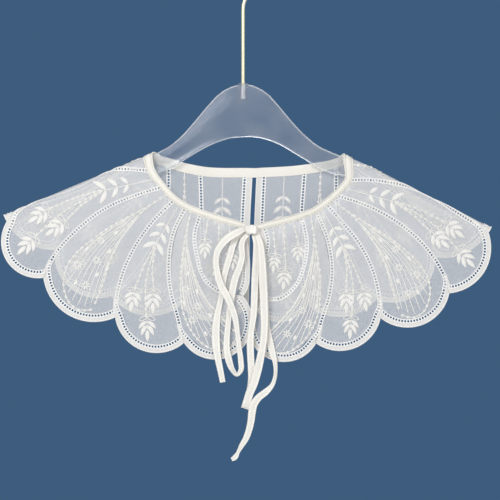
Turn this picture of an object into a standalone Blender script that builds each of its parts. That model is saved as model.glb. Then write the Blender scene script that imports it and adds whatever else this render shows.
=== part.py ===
"""A lace collar hung flat on a clear hanger, in metres.

It faces -Y, with +Z up and +X to the viewer's right. The origin is the inner top of the hook, which holds it up.
Each half of the collar is one cut piece: it is laid out on an unfolded plane, petal by petal, and then folded over
the shoulder. In the tables, across is mm to the right of the rod and drop is mm below the hook's inner top.
"""

import math

import bmesh
import bpy
import numpy as np

MM = 0.001
FRONT, BACK = 1, -1

# Cloth
CLOTH = 1.0
RIDGE = 0.5
SEAM_GAP = 0.3
FOLD_RADIUS = 3.5
FRONT_RISE = 9.0
BACK_RISE = 5.0
RISE_RUN = 50.0
NECK_LEAN = 8.0
NECK_CENTRE = (8.0, 290.0)
NECK_LEAN_REACH = (60.0, 55.0)
PETAL_CROWN = 1.4
FRONTS_MEET = (7.4, 9.7)

# Neck binding and ties
BAND_WIDTH = 8.0
BAND_WALL = 1.8
BAND_STEP = 5.0
TIE_WALL = 1.2
TIE_STEP = 4.0
KNOT_SIZE = (10.2, 8.0, 9.0)
KNOT_PLACE = (8.3, 289.8)
KNOT_SUNK = 4.6
KNOT_SQUARENESS = 3.2

# Hanger
PLATE_WALL = 3.6
PLATE_WEB = 2.2
PLATE_RIM = 3.0
PLATE_BEVEL = 0.9
BOSS_RADIUS = 4.6
BOSS_DROPS = (142.6, 161.0)
ROD_RADIUS = 1.75
ROD_GAP = 0.3
ROD_FOOT = 158.0
CUTTER_PROUD = 10.0
HOOK_INNER = 19.0

# Rows along each petal's side, and how far the last rows and columns lie from the hem, the edges and the borders.
ROWS = 12
CORNER_ROWS = 6
HEM_ROWS = (8.5, 4.5)
EDGE_COLUMN = 4.5
BORDER_COLUMN = 3.0

# The petals from the front opening, over the shoulder, to the back slit. A leaf petal is embroidered with leaves and
# a line petal with a fan of lines. Columns: name, mesh columns, crowd (which draws the columns towards the fold).
PETALS = (
    ("small_leaf", 6, 1.0),
    ("centre_lines", 10, 1.0),
    ("front_leaf", 8, 1.0),
    ("side_lines", 8, 1.0),
    ("shoulder_leaf", 9, 0.72),
    ("shoulder_lines", 13, 1.2),
    ("back_side_leaf", 8, 1.0),
    ("back_lines", 8, 1.0),
    ("slit_leaf", 8, 1.0),
)

# The neck seam passes over the fold here on the unfolded plane, before the first border on the back.
SEAM_OVER_FOLD = (4.2, 0.0)
FIRST_BACK_BORDER = 5
# A point inside the neck hole, on the unfolded plane.
NECK_HOLE = (-60.0, 20.0)
# The small petal's border turns into its round end at this point of its row.
SMALL_CORNER = 3

# Each border runs from the neck to its notch in the hem. Columns: layer, across, drop. A bulge is how far the hem's
# arc stands out from its petal's two notches.
LEFT = {
    "fold": ((-94.2, 214.1), (-239.6, 274.6)),
    "front_neck": (FRONT, 1.0, 289.2),
    "front_edge": ((FRONT, 5.6, 308), (FRONT, 7.3, 330), (FRONT, 4.5, 350), (FRONT, 0.3, 356.3)),
    "borders": (
        ((FRONT, -43, 275.4), (FRONT, -48.4, 295), (FRONT, -46, 316), (FRONT, -37, 340.5),
         (FRONT, -23.6, 351.2), (FRONT, 0.3, 356.3)),
        ((FRONT, -58.2, 269.1), (FRONT, -68.8, 290.5), (FRONT, -74.2, 322), (FRONT, -72.8, 348.4),
         (FRONT, -65, 378), (FRONT, -59, 403)),
        ((FRONT, -70, 261.3), (FRONT, -88.9, 280), (FRONT, -105, 301.7), (FRONT, -117.3, 325.6),
         (FRONT, -125.8, 354.7), (FRONT, -127.8, 377.5)),
        ((FRONT, -83, 247.6), (FRONT, -104.3, 254.3), (FRONT, -137, 268), (FRONT, -168, 291.8),
         (FRONT, -189, 316), (FRONT, -199.5, 338)),
        ((FRONT, -95.5, 230.4), (FRONT, -115, 228.9), (BACK, -140, 235), (BACK, -185, 256),
         (FRONT, -224, 270), (FRONT, -236.9, 281)),
        ((BACK, -90.4, 220), (BACK, -113, 230), (BACK, -143, 246), (BACK, -168, 266),
         (BACK, -185, 288), (BACK, -190, 310)),
        ((BACK, -75, 225.9), (BACK, -93, 243), (BACK, -112, 267), (BACK, -127, 295),
         (BACK, -135, 325), (BACK, -133, 356.6)),
        ((BACK, -43, 233.6), (BACK, -42, 268), (BACK, -42, 307), (BACK, -50, 340), (BACK, -63, 366)),
    ),
    "slit_edge": ((BACK, 9.6, 235.4), (BACK, 7.1, 285), (BACK, 6.6, 335), (BACK, 6, 365)),
    "bulges": (0, 40.5, 21.5, 20.5, 21.5, 13, 20, 15, 17),
}
RIGHT = {
    "fold": ((104.5, 215.4), (251.1, 287.8)),
    "front_neck": (FRONT, 15.2, 290.4),
    "front_edge": ((FRONT, 18.6, 301), (FRONT, 15.9, 316), (FRONT, 12.4, 338), (FRONT, 15, 358.5)),
    "borders": (
        ((FRONT, 59, 278.5), (FRONT, 63.6, 300), (FRONT, 61.5, 324), (FRONT, 53, 345),
         (FRONT, 38.8, 357.6), (FRONT, 15, 358.5)),
        ((FRONT, 73.6, 272.7), (FRONT, 84.7, 299.8), (FRONT, 89, 327), (FRONT, 86.1, 356.5),
         (FRONT, 78, 382), (FRONT, 73.1, 403.5)),
        ((FRONT, 84.1, 265.4), (FRONT, 99.7, 283), (FRONT, 115.1, 302), (FRONT, 128.5, 327.2),
         (FRONT, 135.7, 354.2), (FRONT, 137.6, 378.2)),
        ((FRONT, 95.1, 255.9), (FRONT, 121.3, 264.6), (FRONT, 152, 280.5), (FRONT, 180.8, 305.2),
         (FRONT, 200.1, 334), (FRONT, 206.3, 353.4)),
        ((FRONT, 108.6, 240), (FRONT, 124.6, 239.6), (FRONT, 151.4, 243.2), (FRONT, 180.8, 254),
         (FRONT, 214.3, 272.6), (FRONT, 246.5, 292.5)),
        ((BACK, 103.1, 221.6), (BACK, 123, 236), (BACK, 152, 252), (BACK, 176, 272),
         (BACK, 191, 295), (BACK, 194, 317.4)),
        ((BACK, 94, 225.7), (BACK, 109, 246), (BACK, 124, 270), (BACK, 134, 298),
         (BACK, 138, 328), (BACK, 134, 360)),
        ((BACK, 62, 232), (BACK, 59.2, 272.3), (BACK, 58, 310), (BACK, 60, 340), (BACK, 65, 365)),
    ),
    "slit_edge": ((BACK, 13.3, 235.4), (BACK, 11.2, 285), (BACK, 9.9, 335), (BACK, 9.4, 366)),
    "bulges": (0, 42, 18.5, 20.5, 17.5, 13, 20, 15, 17),
}

# Hanger outline between the two seats, upper edge from the left and lower edge from the right: across, drop.
PLATE_TOP = (
    (-85, 211.8), (-76, 207.2), (-62.7, 196.4), (-49.3, 181.6), (-35.9, 165.6), (-26, 155),
    (-17, 148.5), (-8, 144.9), (0, 143.6), (8, 144.4), (17, 147.9), (26, 154.2), (35.9, 165),
    (49.3, 181), (62.7, 195), (76, 205.6), (85, 210.2), (94, 213.9),
)
PLATE_BOTTOM = (
    (112, 234), (96, 234.5), (76.6, 228.7), (64.5, 220.7), (51.1, 212.7), (37.7, 204.6), (24.3, 199.3),
    (10.9, 196.6), (-2.4, 196.6), (-15.8, 198.6), (-29.2, 203.3), (-42.6, 210), (-56, 218),
    (-68.1, 225.4), (-84, 232), (-99, 232.5),
)
# Where each arm's upper edge starts and stops along the shoulder fold, and its tip below and beyond.
SEATS = (-2.0, 9.0)
ARM_TIP = (14.0, 7.0)
# Room under the fold for its flat facets.
FACET_ROOM = 1.3

# The hook's bend starts beside the rod's line and runs over the top: across, drop.
HOOK_NECK = ((0, 70), (0.6, 63), (3.4, 55.5), (8.6, 47.5))
HOOK_TURN = (-42.0, 205.0)

# The ties, down from the knot. Columns: across, drop, out (mm in front of the cloth), width, turn (degrees).
LEFT_LOOP = (
    (2.6, 289.2, 1.5, 4.6, 0), (-1, 290, 3.6, 5.6, 0), (-6, 292.8, 5.9, 7, 6), (-13.5, 297, 6.4, 7.5, 5),
    (-20.5, 303.5, 6.2, 7, 0), (-25.2, 311, 6, 6.5, 0), (-27, 320, 6, 6, 0), (-25.5, 333, 6, 6.5, 0),
    (-21.7, 345.5, 6.2, 7, 0),
    (-16.5, 355, 6.4, 7, 0), (-12, 365, 6.4, 6.5, 0), (-8, 377, 6.2, 6, 0), (-5.7, 391, 5.8, 5, 0),
    (-4, 406, 5.4, 5, 0), (-2.2, 420, 5, 5.6, 10), (-2.2, 430, 4.6, 6, 45), (-6, 434.6, 3.9, 6, 66),
    (-10.8, 429, 3.1, 6.5, 45), (-14.4, 419, 2.6, 7, 10), (-16.3, 408, 2.4, 6.5, 0), (-16, 396, 2.4, 6, 0),
    (-14.7, 382, 2.4, 5.5, 0), (-13.4, 369, 2.4, 6, 0), (-11.2, 354, 2.4, 7, 0), (-7.6, 337.5, 2.6, 7, 0),
    (-3.4, 326.5, 2.9, 6.5, 0), (-0.9, 316, 3.2, 6, 0), (-1.4, 306, 3.6, 6, 0), (0.2, 299.6, 3.8, 5, 0),
    (4.4, 295, 1.4, 4, 0),
)
LEFT_TAIL = (
    (2.8, 292, -0.3, 3.4, 0), (-1.4, 293.9, 0.6, 4.4, 0), (-6.4, 298, 0.9, 5.5, 0), (-10.4, 306, 0.9, 6.5, 0),
    (-12.5, 314, 0.9, 6.5, 0),
    (-15.5, 324, 0.9, 6.5, 0), (-18.5, 335, 0.9, 6, 0), (-20.5, 347, 0.9, 6, 0), (-22.5, 360, 0.9, 5.5, 0),
    (-24.5, 369, 0.9, 6, 0), (-26.6, 382.5, 0.9, 7.5, 0), (-27.2, 393.4, 0.9, 8, 0), (-26.9, 404, 1.2, 8, 0),
    (-25.5, 415, 1.6, 7, 0), (-22.3, 431.3, 1.6, 6, 0), (-20.2, 442, 1.2, 5.5, 0),
)
RIGHT_LOOP = (
    (10.4, 294.7, 1, 4, 0), (12.4, 301, 2.4, 5, 0), (12.9, 314, 3, 6, 0), (12.1, 335, 2.6, 7, 0),
    (11.4, 355, 2.6, 7, 0), (10.2, 377, 2.6, 6.5, 0), (8.2, 390, 2.6, 6, 0), (7.3, 402, 2.6, 7, 0),
    (7.6, 415, 2.6, 7, 0), (8.3, 427, 2.6, 7, 0), (8.3, 439, 2.6, 6.5, 0), (6.8, 451, 2.6, 7, 0),
    (4.2, 460.5, 2.6, 7.5, 0), (2.4, 466.4, 2.9, 8, 0), (1.9, 467.8, 4.3, 8, 0), (2.4, 466.4, 5.7, 8, 0),
    (4.4, 460, 6, 8, 0), (6.7, 452.4, 6, 8, 0), (10.2, 444.6, 6, 8, 0), (13.4, 434.5, 6, 8, 0),
    (16, 424, 6, 8, 0), (18.2, 413, 6, 7.5, 0), (20.3, 401, 6, 7, 0), (21.2, 388, 6, 7, 0), (21.3, 377, 6, 7.5, 0), (20.6, 355, 6.2, 8, 0),
    (19.6, 335, 6.4, 8, 0), (18.6, 315, 6.4, 6.5, 0), (16.6, 301, 5.4, 5.5, 0), (13.7, 293.8, 2, 4, 0),
)
RIGHT_TAIL = (
    (14.9, 293, -0.6, 3.4, 0), (18.2, 302.6, 0.9, 5, 0), (20.4, 322, 0.9, 6, 0), (21.6, 350, 0.9, 6.5, 0),
    (22.6, 370, 0.9, 6.5, 0), (24, 388, 0.9, 6.5, 0), (26.8, 401, 0.9, 6.5, 0), (29.2, 412, 1, 6.5, 0),
    (31.8, 421, 1.4, 5, 25), (32.6, 430.6, 2.4, 4.5, 45), (31.6, 438.3, 4.2, 4.5, 45), (28.9, 444.9, 6.4, 5, 35),
    (22.8, 451.2, 8.4, 6.5, 10), (15.4, 457, 9, 7, 0), (10.8, 463.6, 9, 7.5, 0), (9, 471.4, 9, 7.5, 0),
    (8, 480, 8.6, 7, 0), (6.2, 488.3, 8, 6.5, 0), (2.8, 497.8, 7.4, 6, 0), (-1.5, 505, 7, 5, 0),
    (-5.3, 512.2, 6.8, 3.6, 0), (-7, 515.4, 6.8, 5, 0), (-8.8, 517.2, 6.8, 5, 0), (-11.4, 518.6, 6.8, 3.6, 0),
)


def settle(x):
    """0 to 1 with level ends."""
    x = min(max(x, 0.0), 1.0)
    return x * x * (3 - 2 * x)


def curve(points, axes=2, steps=24):
    """A dense smooth polyline through points, and the length along it at each one, measured on the first axes."""
    points = np.array(points, float)
    chords = np.linalg.norm(np.diff(points[:, :axes], axis=0), axis=1)
    at = np.concatenate([[0], np.cumsum(chords)])
    slope = np.gradient(points, at, axis=0) if len(points) > 2 else np.diff(points, axis=0)[[0, 0]] / at[-1]
    dense, knots = [points[0]], [0]
    for i, span in enumerate(chords):
        for t in np.linspace(0, 1, steps + 1)[1:]:
            dense.append(
                (2 * t**3 - 3 * t**2 + 1) * points[i]
                + (t**3 - 2 * t**2 + t) * span * slope[i]
                + (3 * t**2 - 2 * t**3) * points[i + 1]
                + (t**3 - t**2) * span * slope[i + 1]
            )
        knots.append(len(dense) - 1)
    dense = np.array(dense)
    length = np.concatenate([[0], np.cumsum(np.linalg.norm(np.diff(dense[:, :axes], axis=0), axis=1))])
    return dense, length, length[knots]


def along(dense, length, where):
    """The points of a dense polyline at these lengths."""
    return np.stack([np.interp(where, length, dense[:, k]) for k in range(dense.shape[1])], axis=-1)


def even(points, step):
    """Points about step apart along the smooth curve through these ones."""
    dense, length, _ = curve(points)
    return along(dense, length, np.linspace(0, length[-1], max(2, round(length[-1] / step)) + 1))


class Fold:
    """The shoulder fold of one half: it takes points to and from the unfolded plane (u along the fold, w across it)."""

    def __init__(self, ends):
        start, end = np.array(ends, float)
        self.along = (end - start) / np.linalg.norm(end - start)
        self.down = np.array([-self.along[1], self.along[0]])
        self.down *= np.sign(self.down[1])
        self.start = start + CLOTH * self.down

    def unfold(self, layer, across, drop):
        offset = np.array([across, drop]) - self.start
        below = max(offset @ self.down, 0.0)
        if below < FOLD_RADIUS:
            reach = FOLD_RADIUS * math.acos(1 - below / FOLD_RADIUS)
        else:
            reach = below + (math.pi / 2 - 1) * FOLD_RADIUS
        return offset @ self.along, layer * reach

    def place(self, u, w, lift=0.0):
        """The point in metres, lifted off the cloth's inner face."""
        layer = 1 if w >= 0 else -1
        angle = min(abs(w) / FOLD_RADIUS, math.pi / 2)
        below = FOLD_RADIUS * (1 - math.cos(angle)) + max(abs(w) - FOLD_RADIUS * math.pi / 2, 0)
        across, drop = self.start + u * self.along + (below - lift * math.cos(angle)) * self.down
        depth = FOLD_RADIUS * math.sin(angle) + swell(layer, across, drop, below) + lift * math.sin(angle)
        return across * MM, -layer * depth * MM, -drop * MM


def swell(layer, across, drop, below):
    """How far a layer stands off the fold's own thickness, this far below the fold."""
    settled = settle(below / RISE_RUN)
    if layer == BACK:
        return BACK_RISE * settled
    lean = math.exp(
        -(((across - NECK_CENTRE[0]) / NECK_LEAN_REACH[0]) ** 2)
        - ((drop - NECK_CENTRE[1]) / NECK_LEAN_REACH[1]) ** 2
    )
    return settled * (FRONT_RISE + NECK_LEAN * lean)


def front_depth(across, drop):
    """How far the front cloth's outer face stands from the hanger's plane, well below the folds."""
    return FOLD_RADIUS + CLOTH + RIDGE + PETAL_CROWN + swell(FRONT, across, drop, RISE_RUN)


def hem_arc(start, end, bulge, away_from):
    """A function from 0 to 1 along the round arc from start to end that stands out by bulge."""
    start, end = np.array(start), np.array(end)
    middle, half = (start + end) / 2, np.linalg.norm(end - start) / 2
    ahead = (end - start) / (2 * half)
    out = np.array([-ahead[1], ahead[0]])
    out *= np.sign(out @ (middle - away_from))
    radius = (half**2 + bulge**2) / (2 * bulge)
    centre = middle + (bulge - radius) * out
    sweep = math.atan2(half, radius - bulge)

    def at(t):
        angle = sweep * (2 * t - 1)
        return centre + radius * (math.sin(angle) * ahead + math.cos(angle) * out)

    return at


def side_rows(points, rows, last):
    """Points down a petal's side: even rows, then one at each of the last distances from its end, and the end."""
    dense, length, _ = curve(points)
    total = length[-1]
    evens = np.linspace(0, total - (last[0] if last else 0), rows + 1 - len(last))
    return along(dense, length, np.concatenate([evens, [total - d for d in last[1:]], [total]] if last else [evens]))


def lay_out(half):
    """Each petal of one half, on its unfolded plane: its two sides, its neck and hem functions."""
    fold = Fold(half["fold"])
    borders = [[fold.unfold(*row) for row in rows] for rows in half["borders"]]
    edge = [fold.unfold(*half["front_neck"])] + [fold.unfold(*row) for row in half["front_edge"]]
    slit = [fold.unfold(*row) for row in half["slit_edge"]]
    neck_points = [edge[0]] + [border[0] for border in borders] + [slit[0]]
    over = FIRST_BACK_BORDER + 1
    neck_points.insert(over, SEAM_OVER_FOLD)
    dense, length, knots = curve(neck_points)
    knots = np.delete(knots, over)

    def neck(i):
        return lambda t: along(dense, length, knots[i] + t * (knots[i + 1] - knots[i]))

    small_side = side_rows(borders[0][: SMALL_CORNER + 1], CORNER_ROWS, ())
    small_hem = side_rows(borders[0][SMALL_CORNER:], ROWS - CORNER_ROWS, (EDGE_COLUMN,))
    sides = [np.concatenate([small_side, small_hem[1:]])]
    sides += [side_rows(border, ROWS, HEM_ROWS) for border in borders[1:]]
    sides.append(side_rows(slit, ROWS, HEM_ROWS))
    hems = []
    for i, bulge in enumerate(half["bulges"]):
        if i:
            inner = sides[i - 1][-1]
            hems.append(hem_arc(inner, sides[i][-1], bulge, neck(i)(0.5)))
    front = side_rows(edge, CORNER_ROWS, ())
    return fold, neck, small_side, small_hem, front, sides, hems


def petal_grid(inner, outer, top, hem, columns, crowd, near):
    """Points of a petal between its two sides, its neck and its hem, with a share across and down for each."""
    rows = len(inner)
    inner_at = np.linspace(0, 1, rows)
    grid, shares = [], []
    for r in range(rows):
        s = inner_at[r]
        width = np.linalg.norm(outer[r] - inner[r])
        first, last = (min(n / max(width, 1e-6), 0.3) for n in near)
        middle = first + (1 - first - last) * np.linspace(0, 1, columns - 1) ** crowd
        line, share = [], []
        for t in (0.0, *middle, 1.0):
            corners = (1 - s) * ((1 - t) * inner[0] + t * outer[0]) + s * ((1 - t) * inner[-1] + t * outer[-1])
            line.append((1 - t) * inner[r] + t * outer[r] + (1 - s) * top(t) + s * hem(t) - corners)
            share.append((t, s))
        line[0], line[-1] = inner[r], outer[r]
        grid.append(line)
        shares.append(share)
    return grid, shares


def add_petal(bm, weights, fold, grid, shares, raised, limit):
    """One petal's faces, folded to its place. raised says which rows and columns carry a ridge."""
    made = []
    for line, share in zip(grid, shares):
        row = []
        for point, (t, s) in zip(line, share):
            crown = PETAL_CROWN * math.sin(math.pi * t) * math.sin(math.pi * min(s * 1.1, 1)) ** 0.7
            x, y, z = fold.place(*point, crown if 0 < t < 1 and 0 < s < 0.9 else 0.0)
            row.append(bm.verts.new((limit(x / MM) * MM, y, z)))
        made.append(row)
    last_row, last_column = len(made) - 1, len(made[0]) - 1
    for r, row in enumerate(made):
        for c, vert in enumerate(row):
            vert[weights][0] = 1.0 if raised(r, c, last_row, last_column) else CLOTH / (CLOTH + RIDGE)
    for r in range(last_row):
        for c in range(last_column):
            bm.faces.new((made[r][c], made[r][c + 1], made[r + 1][c + 1], made[r + 1][c]))


def half_collar(name, half, limit, material):
    """One cut piece: nine petals from the front opening, over the shoulder, to the back slit."""
    fold, neck, small_side, small_hem, front, sides, hems = lay_out(half)
    bm = bmesh.new()
    weights = bm.verts.layers.deform.new()

    def lines_and_hem(r, c, last_row, last_column):
        return c in (0, last_column) or r >= last_row - 1

    for i, (_, columns, crowd) in enumerate(PETALS):
        if i == 0:
            hem = small_hem[::-1]
            shares = np.linspace(0, 1, len(hem))
            grid, share = small_grid(front, small_side, neck(0), hem, shares)
            add_petal(bm, weights, fold, grid, share, lambda r, c, lr, lc: c in (0, 1, lc) or r == lr, limit)
            continue
        near = (BORDER_COLUMN, EDGE_COLUMN if i == len(PETALS) - 1 else BORDER_COLUMN)
        grid, share = petal_grid(sides[i - 1], sides[i], neck(i), hems[i - 1], columns, crowd, near)
        if i == len(PETALS) - 1:
            add_petal(bm, weights, fold, grid, share,
                      lambda r, c, lr, lc: c in (0, lc - 1, lc) or r >= lr - 1, limit)
        else:
            add_petal(bm, weights, fold, grid, share, lines_and_hem, limit)
    bmesh.ops.remove_doubles(bm, verts=bm.verts, dist=0.01 * MM)
    bmesh.ops.recalc_face_normals(bm, faces=bm.faces)
    front_face = min(bm.faces, key=lambda face: face.calc_center_median().y)
    if front_face.normal.y > 0:
        bmesh.ops.reverse_faces(bm, faces=bm.faces)
    obj = mesh_object(name, bm, material)
    group = obj.vertex_groups.new(name="thickness")
    wall = obj.modifiers.new("wall", "SOLIDIFY")
    wall.thickness = (CLOTH + RIDGE) * MM
    wall.offset = 1.0
    wall.vertex_group = group.name
    return obj


def small_grid(front, side, top, hem, shares):
    """The small petal at the opening, whose round end is wrapped by its neighbour's border."""
    grid, out = [], []
    for r in range(len(front)):
        s = r / (len(front) - 1)
        line, share = [], []
        for k, t in enumerate(shares):
            corners = (1 - s) * ((1 - t) * front[0] + t * side[0]) + s * ((1 - t) * hem[0] + t * hem[-1])
            point = (1 - t) * front[r] + t * side[r] + (1 - s) * top(t) + s * hem[k] - corners
            line.append(point)
            share.append((t, s))
        line[0], line[-1] = front[r], side[r]
        grid.append(line)
        out.append(share)
    return grid, out


def mesh_object(name, bm, material, sharp=30):
    mesh = bpy.data.meshes.new(name)
    bm.to_mesh(mesh)
    bm.free()
    mesh.shade_smooth()
    mesh.set_sharp_from_angle(angle=math.radians(sharp))
    mesh.materials.append(material)
    obj = bpy.data.objects.new(name, mesh)
    collar.objects.link(obj)
    return obj


def loft(name, rings, material):
    """A closed body through rings of points, capped at both ends."""
    bm = bmesh.new()
    loops = [[bm.verts.new(point) for point in ring] for ring in rings]
    for a, b in zip(loops, loops[1:]):
        for i in range(len(a)):
            j = (i + 1) % len(a)
            bm.faces.new((a[i], a[j], b[j], b[i]))
    bm.faces.new(loops[0][::-1])
    bm.faces.new(loops[-1])
    if bm.calc_volume(signed=True) < 0:
        bmesh.ops.reverse_faces(bm, faces=bm.faces)
    return mesh_object(name, bm, material, 40)


def band_rings(half):
    """The neck binding's sections along one half's neck, from the front opening to the back slit."""
    fold = Fold(half["fold"])
    points = [fold.unfold(*half["front_neck"])] + [fold.unfold(*rows[0]) for rows in half["borders"]]
    points.insert(FIRST_BACK_BORDER + 1, SEAM_OVER_FOLD)
    points.append(fold.unfold(*half["slit_edge"][0]))
    line = even(points, BAND_STEP / 4)
    line = line[[i for i, (_, w) in enumerate(line) if abs(w) < 2 * FOLD_RADIUS or i % 4 == 0 or i == len(line) - 1]]
    ahead = np.gradient(line, axis=0)
    ahead /= np.linalg.norm(ahead, axis=1)[:, None]
    inward = np.stack([-ahead[:, 1], ahead[:, 0]], axis=1)
    inward *= np.sign(np.sum(inward * (NECK_HOLE - line), axis=1))[:, None]
    low, high = SEAM_GAP, BAND_WIDTH
    section = (
        (low, 0), (low, BAND_WALL * 0.75), (low + 1, BAND_WALL), (high - 1, BAND_WALL), (high, BAND_WALL * 0.75),
        (high, 0),
    )
    rings = []
    for point, side in zip(line, inward):
        rings.append([fold.place(*(point + a * side), lift) for a, lift in section])
    return rings


def neck_binding(material):
    """One strip from the left front end, round behind the neck, to the right front end."""
    rings = band_rings(LEFT) + band_rings(RIGHT)[::-1]
    return loft("neck_binding", rings, material)


def tie(name, rows, material):
    """A flat ribbon down its table, turned about its own line where it folds over."""
    # A fold in the ribbon turns through its depth, so its length is measured on three axes.
    dense, length, knots = curve(rows, axes=3)
    spans = [np.linspace(a, b, max(1, round((b - a) / TIE_STEP)) + 1)[:-1] for a, b in zip(knots, knots[1:])]
    line = along(dense, length, np.concatenate([*spans, knots[-1:]]))
    centre = np.array([(a, -(front_depth(a, d) + out), -d) for a, d, out, _, _ in line])
    ahead = np.gradient(centre, axis=0)
    rings, flat = [], None
    for point, forward, (_, _, _, width, turn) in zip(centre, ahead, line):
        forward = forward / np.linalg.norm(forward)
        across = np.cross(forward, (0, 1, 0))
        if flat is None or np.linalg.norm(across) > 0.35:
            across *= 1 if flat is None else np.sign(across @ flat)
            flat = across / np.linalg.norm(across)
        face = np.cross(forward, flat)
        angle = math.radians(turn)
        wide = math.cos(angle) * flat + math.sin(angle) * face
        thick = math.cos(angle) * face - math.sin(angle) * flat
        corners = ((-1, -1), (1, -1), (1, 1), (-1, 1))
        rings.append([(point + a * wide * width / 2 + b * thick * TIE_WALL / 2) * MM for a, b in corners])
    return loft(name, rings, material)


def bow_knot(material):
    """The wrapped knot between the binding's two ends."""
    bm = bmesh.new()
    bmesh.ops.create_cube(bm, size=1)
    bmesh.ops.subdivide_edges(bm, edges=bm.edges, cuts=3, use_grid_fill=True)
    across, drop = KNOT_PLACE
    depth = front_depth(across, drop) + KNOT_SIZE[1] / 2 - KNOT_SUNK
    for vert in bm.verts:
        round_off = (np.abs(np.array(vert.co) * 2) ** KNOT_SQUARENESS).sum() ** (-1 / KNOT_SQUARENESS)
        at = np.array(vert.co) * round_off * np.array(KNOT_SIZE)
        vert.co = np.array((across + at[0], -depth + at[1], -drop + at[2])) * MM
    return mesh_object("bow_knot", bm, material, 60)


def plate_outline():
    """The hanger's outline, with its arms' upper edges seated just under both shoulder folds."""
    crest = PLATE_WALL / 2 - PLATE_BEVEL
    roof = FOLD_RADIUS - math.sqrt(FOLD_RADIUS**2 - crest**2) + SEAM_GAP + FACET_ROOM
    seats = {}
    for name, half in (("left", LEFT), ("right", RIGHT)):
        fold = Fold(half["fold"])
        seats[name] = [tuple(fold.start + u * fold.along + roof * fold.down) for u in SEATS]
        tip = fold.start + ARM_TIP[0] * fold.along + (roof + ARM_TIP[1]) * fold.down
        seats[name].append(tuple(tip))
    outline = seats["left"][::-1] + list(PLATE_TOP) + seats["right"] + list(PLATE_BOTTOM)
    return even([*outline, outline[0]], 6.0)[:-1]


def drop_plane_face(bm, outline, depth):
    return bm.faces.new([bm.verts.new((a * MM, depth * MM, -d * MM)) for a, d in outline])


def hanger_plate(material):
    """A clear moulded plate with a raised rim and a socket for the rod."""
    bm = bmesh.new()
    face = drop_plane_face(bm, plate_outline(), -PLATE_WALL / 2)
    made = bmesh.ops.extrude_face_region(bm, geom=[face])
    for vert in (g for g in made["geom"] if isinstance(g, bmesh.types.BMVert)):
        vert.co.y = PLATE_WALL / 2 * MM
    bmesh.ops.recalc_face_normals(bm, faces=bm.faces)
    for sign in (-1, 1):
        flat = [f for f in bm.faces if f.normal.y * sign > 0.9 and len(f.verts) > 8]
        bmesh.ops.inset_region(bm, faces=flat, thickness=PLATE_RIM * MM, depth=-(PLATE_WALL - PLATE_WEB) / 2 * MM)
    bm.normal_update()
    rims = [e for e in bm.edges if {round(abs(f.normal.y)) for f in e.link_faces} == {0, 1}
            and min(abs(v.co.y) for v in e.verts) > (PLATE_WALL / 2 - 0.01) * MM
            and any(abs(f.normal.y) < 0.1 for f in e.link_faces)]
    bmesh.ops.bevel(
        bm, geom=rims, offset=PLATE_BEVEL * MM, segments=1, affect="EDGES", profile=0.5, material=-1
    )
    plate = mesh_object("hanger_plate", bm, material)
    boss_height = (BOSS_DROPS[1] - BOSS_DROPS[0]) * MM
    boss = round_helper("boss", BOSS_RADIUS, BOSS_DROPS[0], boss_height)
    hole_height = (ROD_FOOT + ROD_GAP - BOSS_DROPS[0] + CUTTER_PROUD) * MM
    hole = round_helper("socket", ROD_RADIUS + ROD_GAP, BOSS_DROPS[0] - CUTTER_PROUD, hole_height)
    for helper, operation in ((boss, "UNION"), (hole, "DIFFERENCE")):
        cut = plate.modifiers.new(helper.name, "BOOLEAN")
        cut.operation = operation
        cut.object = helper
    return plate


def round_helper(name, radius, top_drop, height):
    """A hidden upright cylinder on the rod's line."""
    bm = bmesh.new()
    bmesh.ops.create_cone(
        bm, cap_ends=True, segments=20, radius1=radius * MM, radius2=radius * MM, depth=height
    )
    bmesh.ops.translate(bm, verts=bm.verts, vec=(0, 0, -top_drop * MM - height / 2))
    mesh = bpy.data.meshes.new(name)
    bm.to_mesh(mesh)
    bm.free()
    obj = bpy.data.objects.new(name, mesh)
    obj.hide_render = True
    obj.display_type = "WIRE"
    cutters.objects.link(obj)
    return obj


def hook_rod(material):
    """The rod, straight up from its socket, and the plain hook on it."""
    middle = HOOK_INNER + ROD_RADIUS
    turn = [math.radians(a) for a in np.linspace(*HOOK_TURN, 18)]
    bend = [(middle * math.cos(a), HOOK_INNER - middle * math.sin(a)) for a in turn]
    route = [(0, ROD_FOOT), (0, 100)] + [tuple(p) for p in even([*HOOK_NECK, *bend], 4.0)]
    data = bpy.data.curves.new("hook_rod", "CURVE")
    data.dimensions = "3D"
    data.bevel_depth = ROD_RADIUS * MM
    data.bevel_resolution = 2
    data.use_fill_caps = True
    spline = data.splines.new("POLY")
    spline.points.add(len(route) - 1)
    for point, (across, drop) in zip(spline.points, route):
        point.co = (across * MM, 0, -drop * MM, 1)
    data.materials.append(material)
    obj = bpy.data.objects.new("hook_rod", data)
    collar.objects.link(obj)
    return obj


def finish(name, colour, roughness, metallic=0.0, alpha=1.0):
    material = bpy.data.materials.new(name)
    material.use_nodes = True
    shader = material.node_tree.nodes["Principled BSDF"]
    shader.inputs["Base Color"].default_value = (*colour, 1)
    shader.inputs["Roughness"].default_value = roughness
    shader.inputs["Metallic"].default_value = metallic
    shader.inputs["Alpha"].default_value = alpha
    return material


def clear_scene():
    for obj in list(bpy.data.objects):
        bpy.data.objects.remove(obj, do_unlink=True)


def new_collection(name):
    group = bpy.data.collections.new(name)
    bpy.context.scene.collection.children.link(group)
    return group


def keep_left(across):
    return min(across, FRONTS_MEET[0])


def keep_right(across):
    return max(across, FRONTS_MEET[1])


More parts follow.
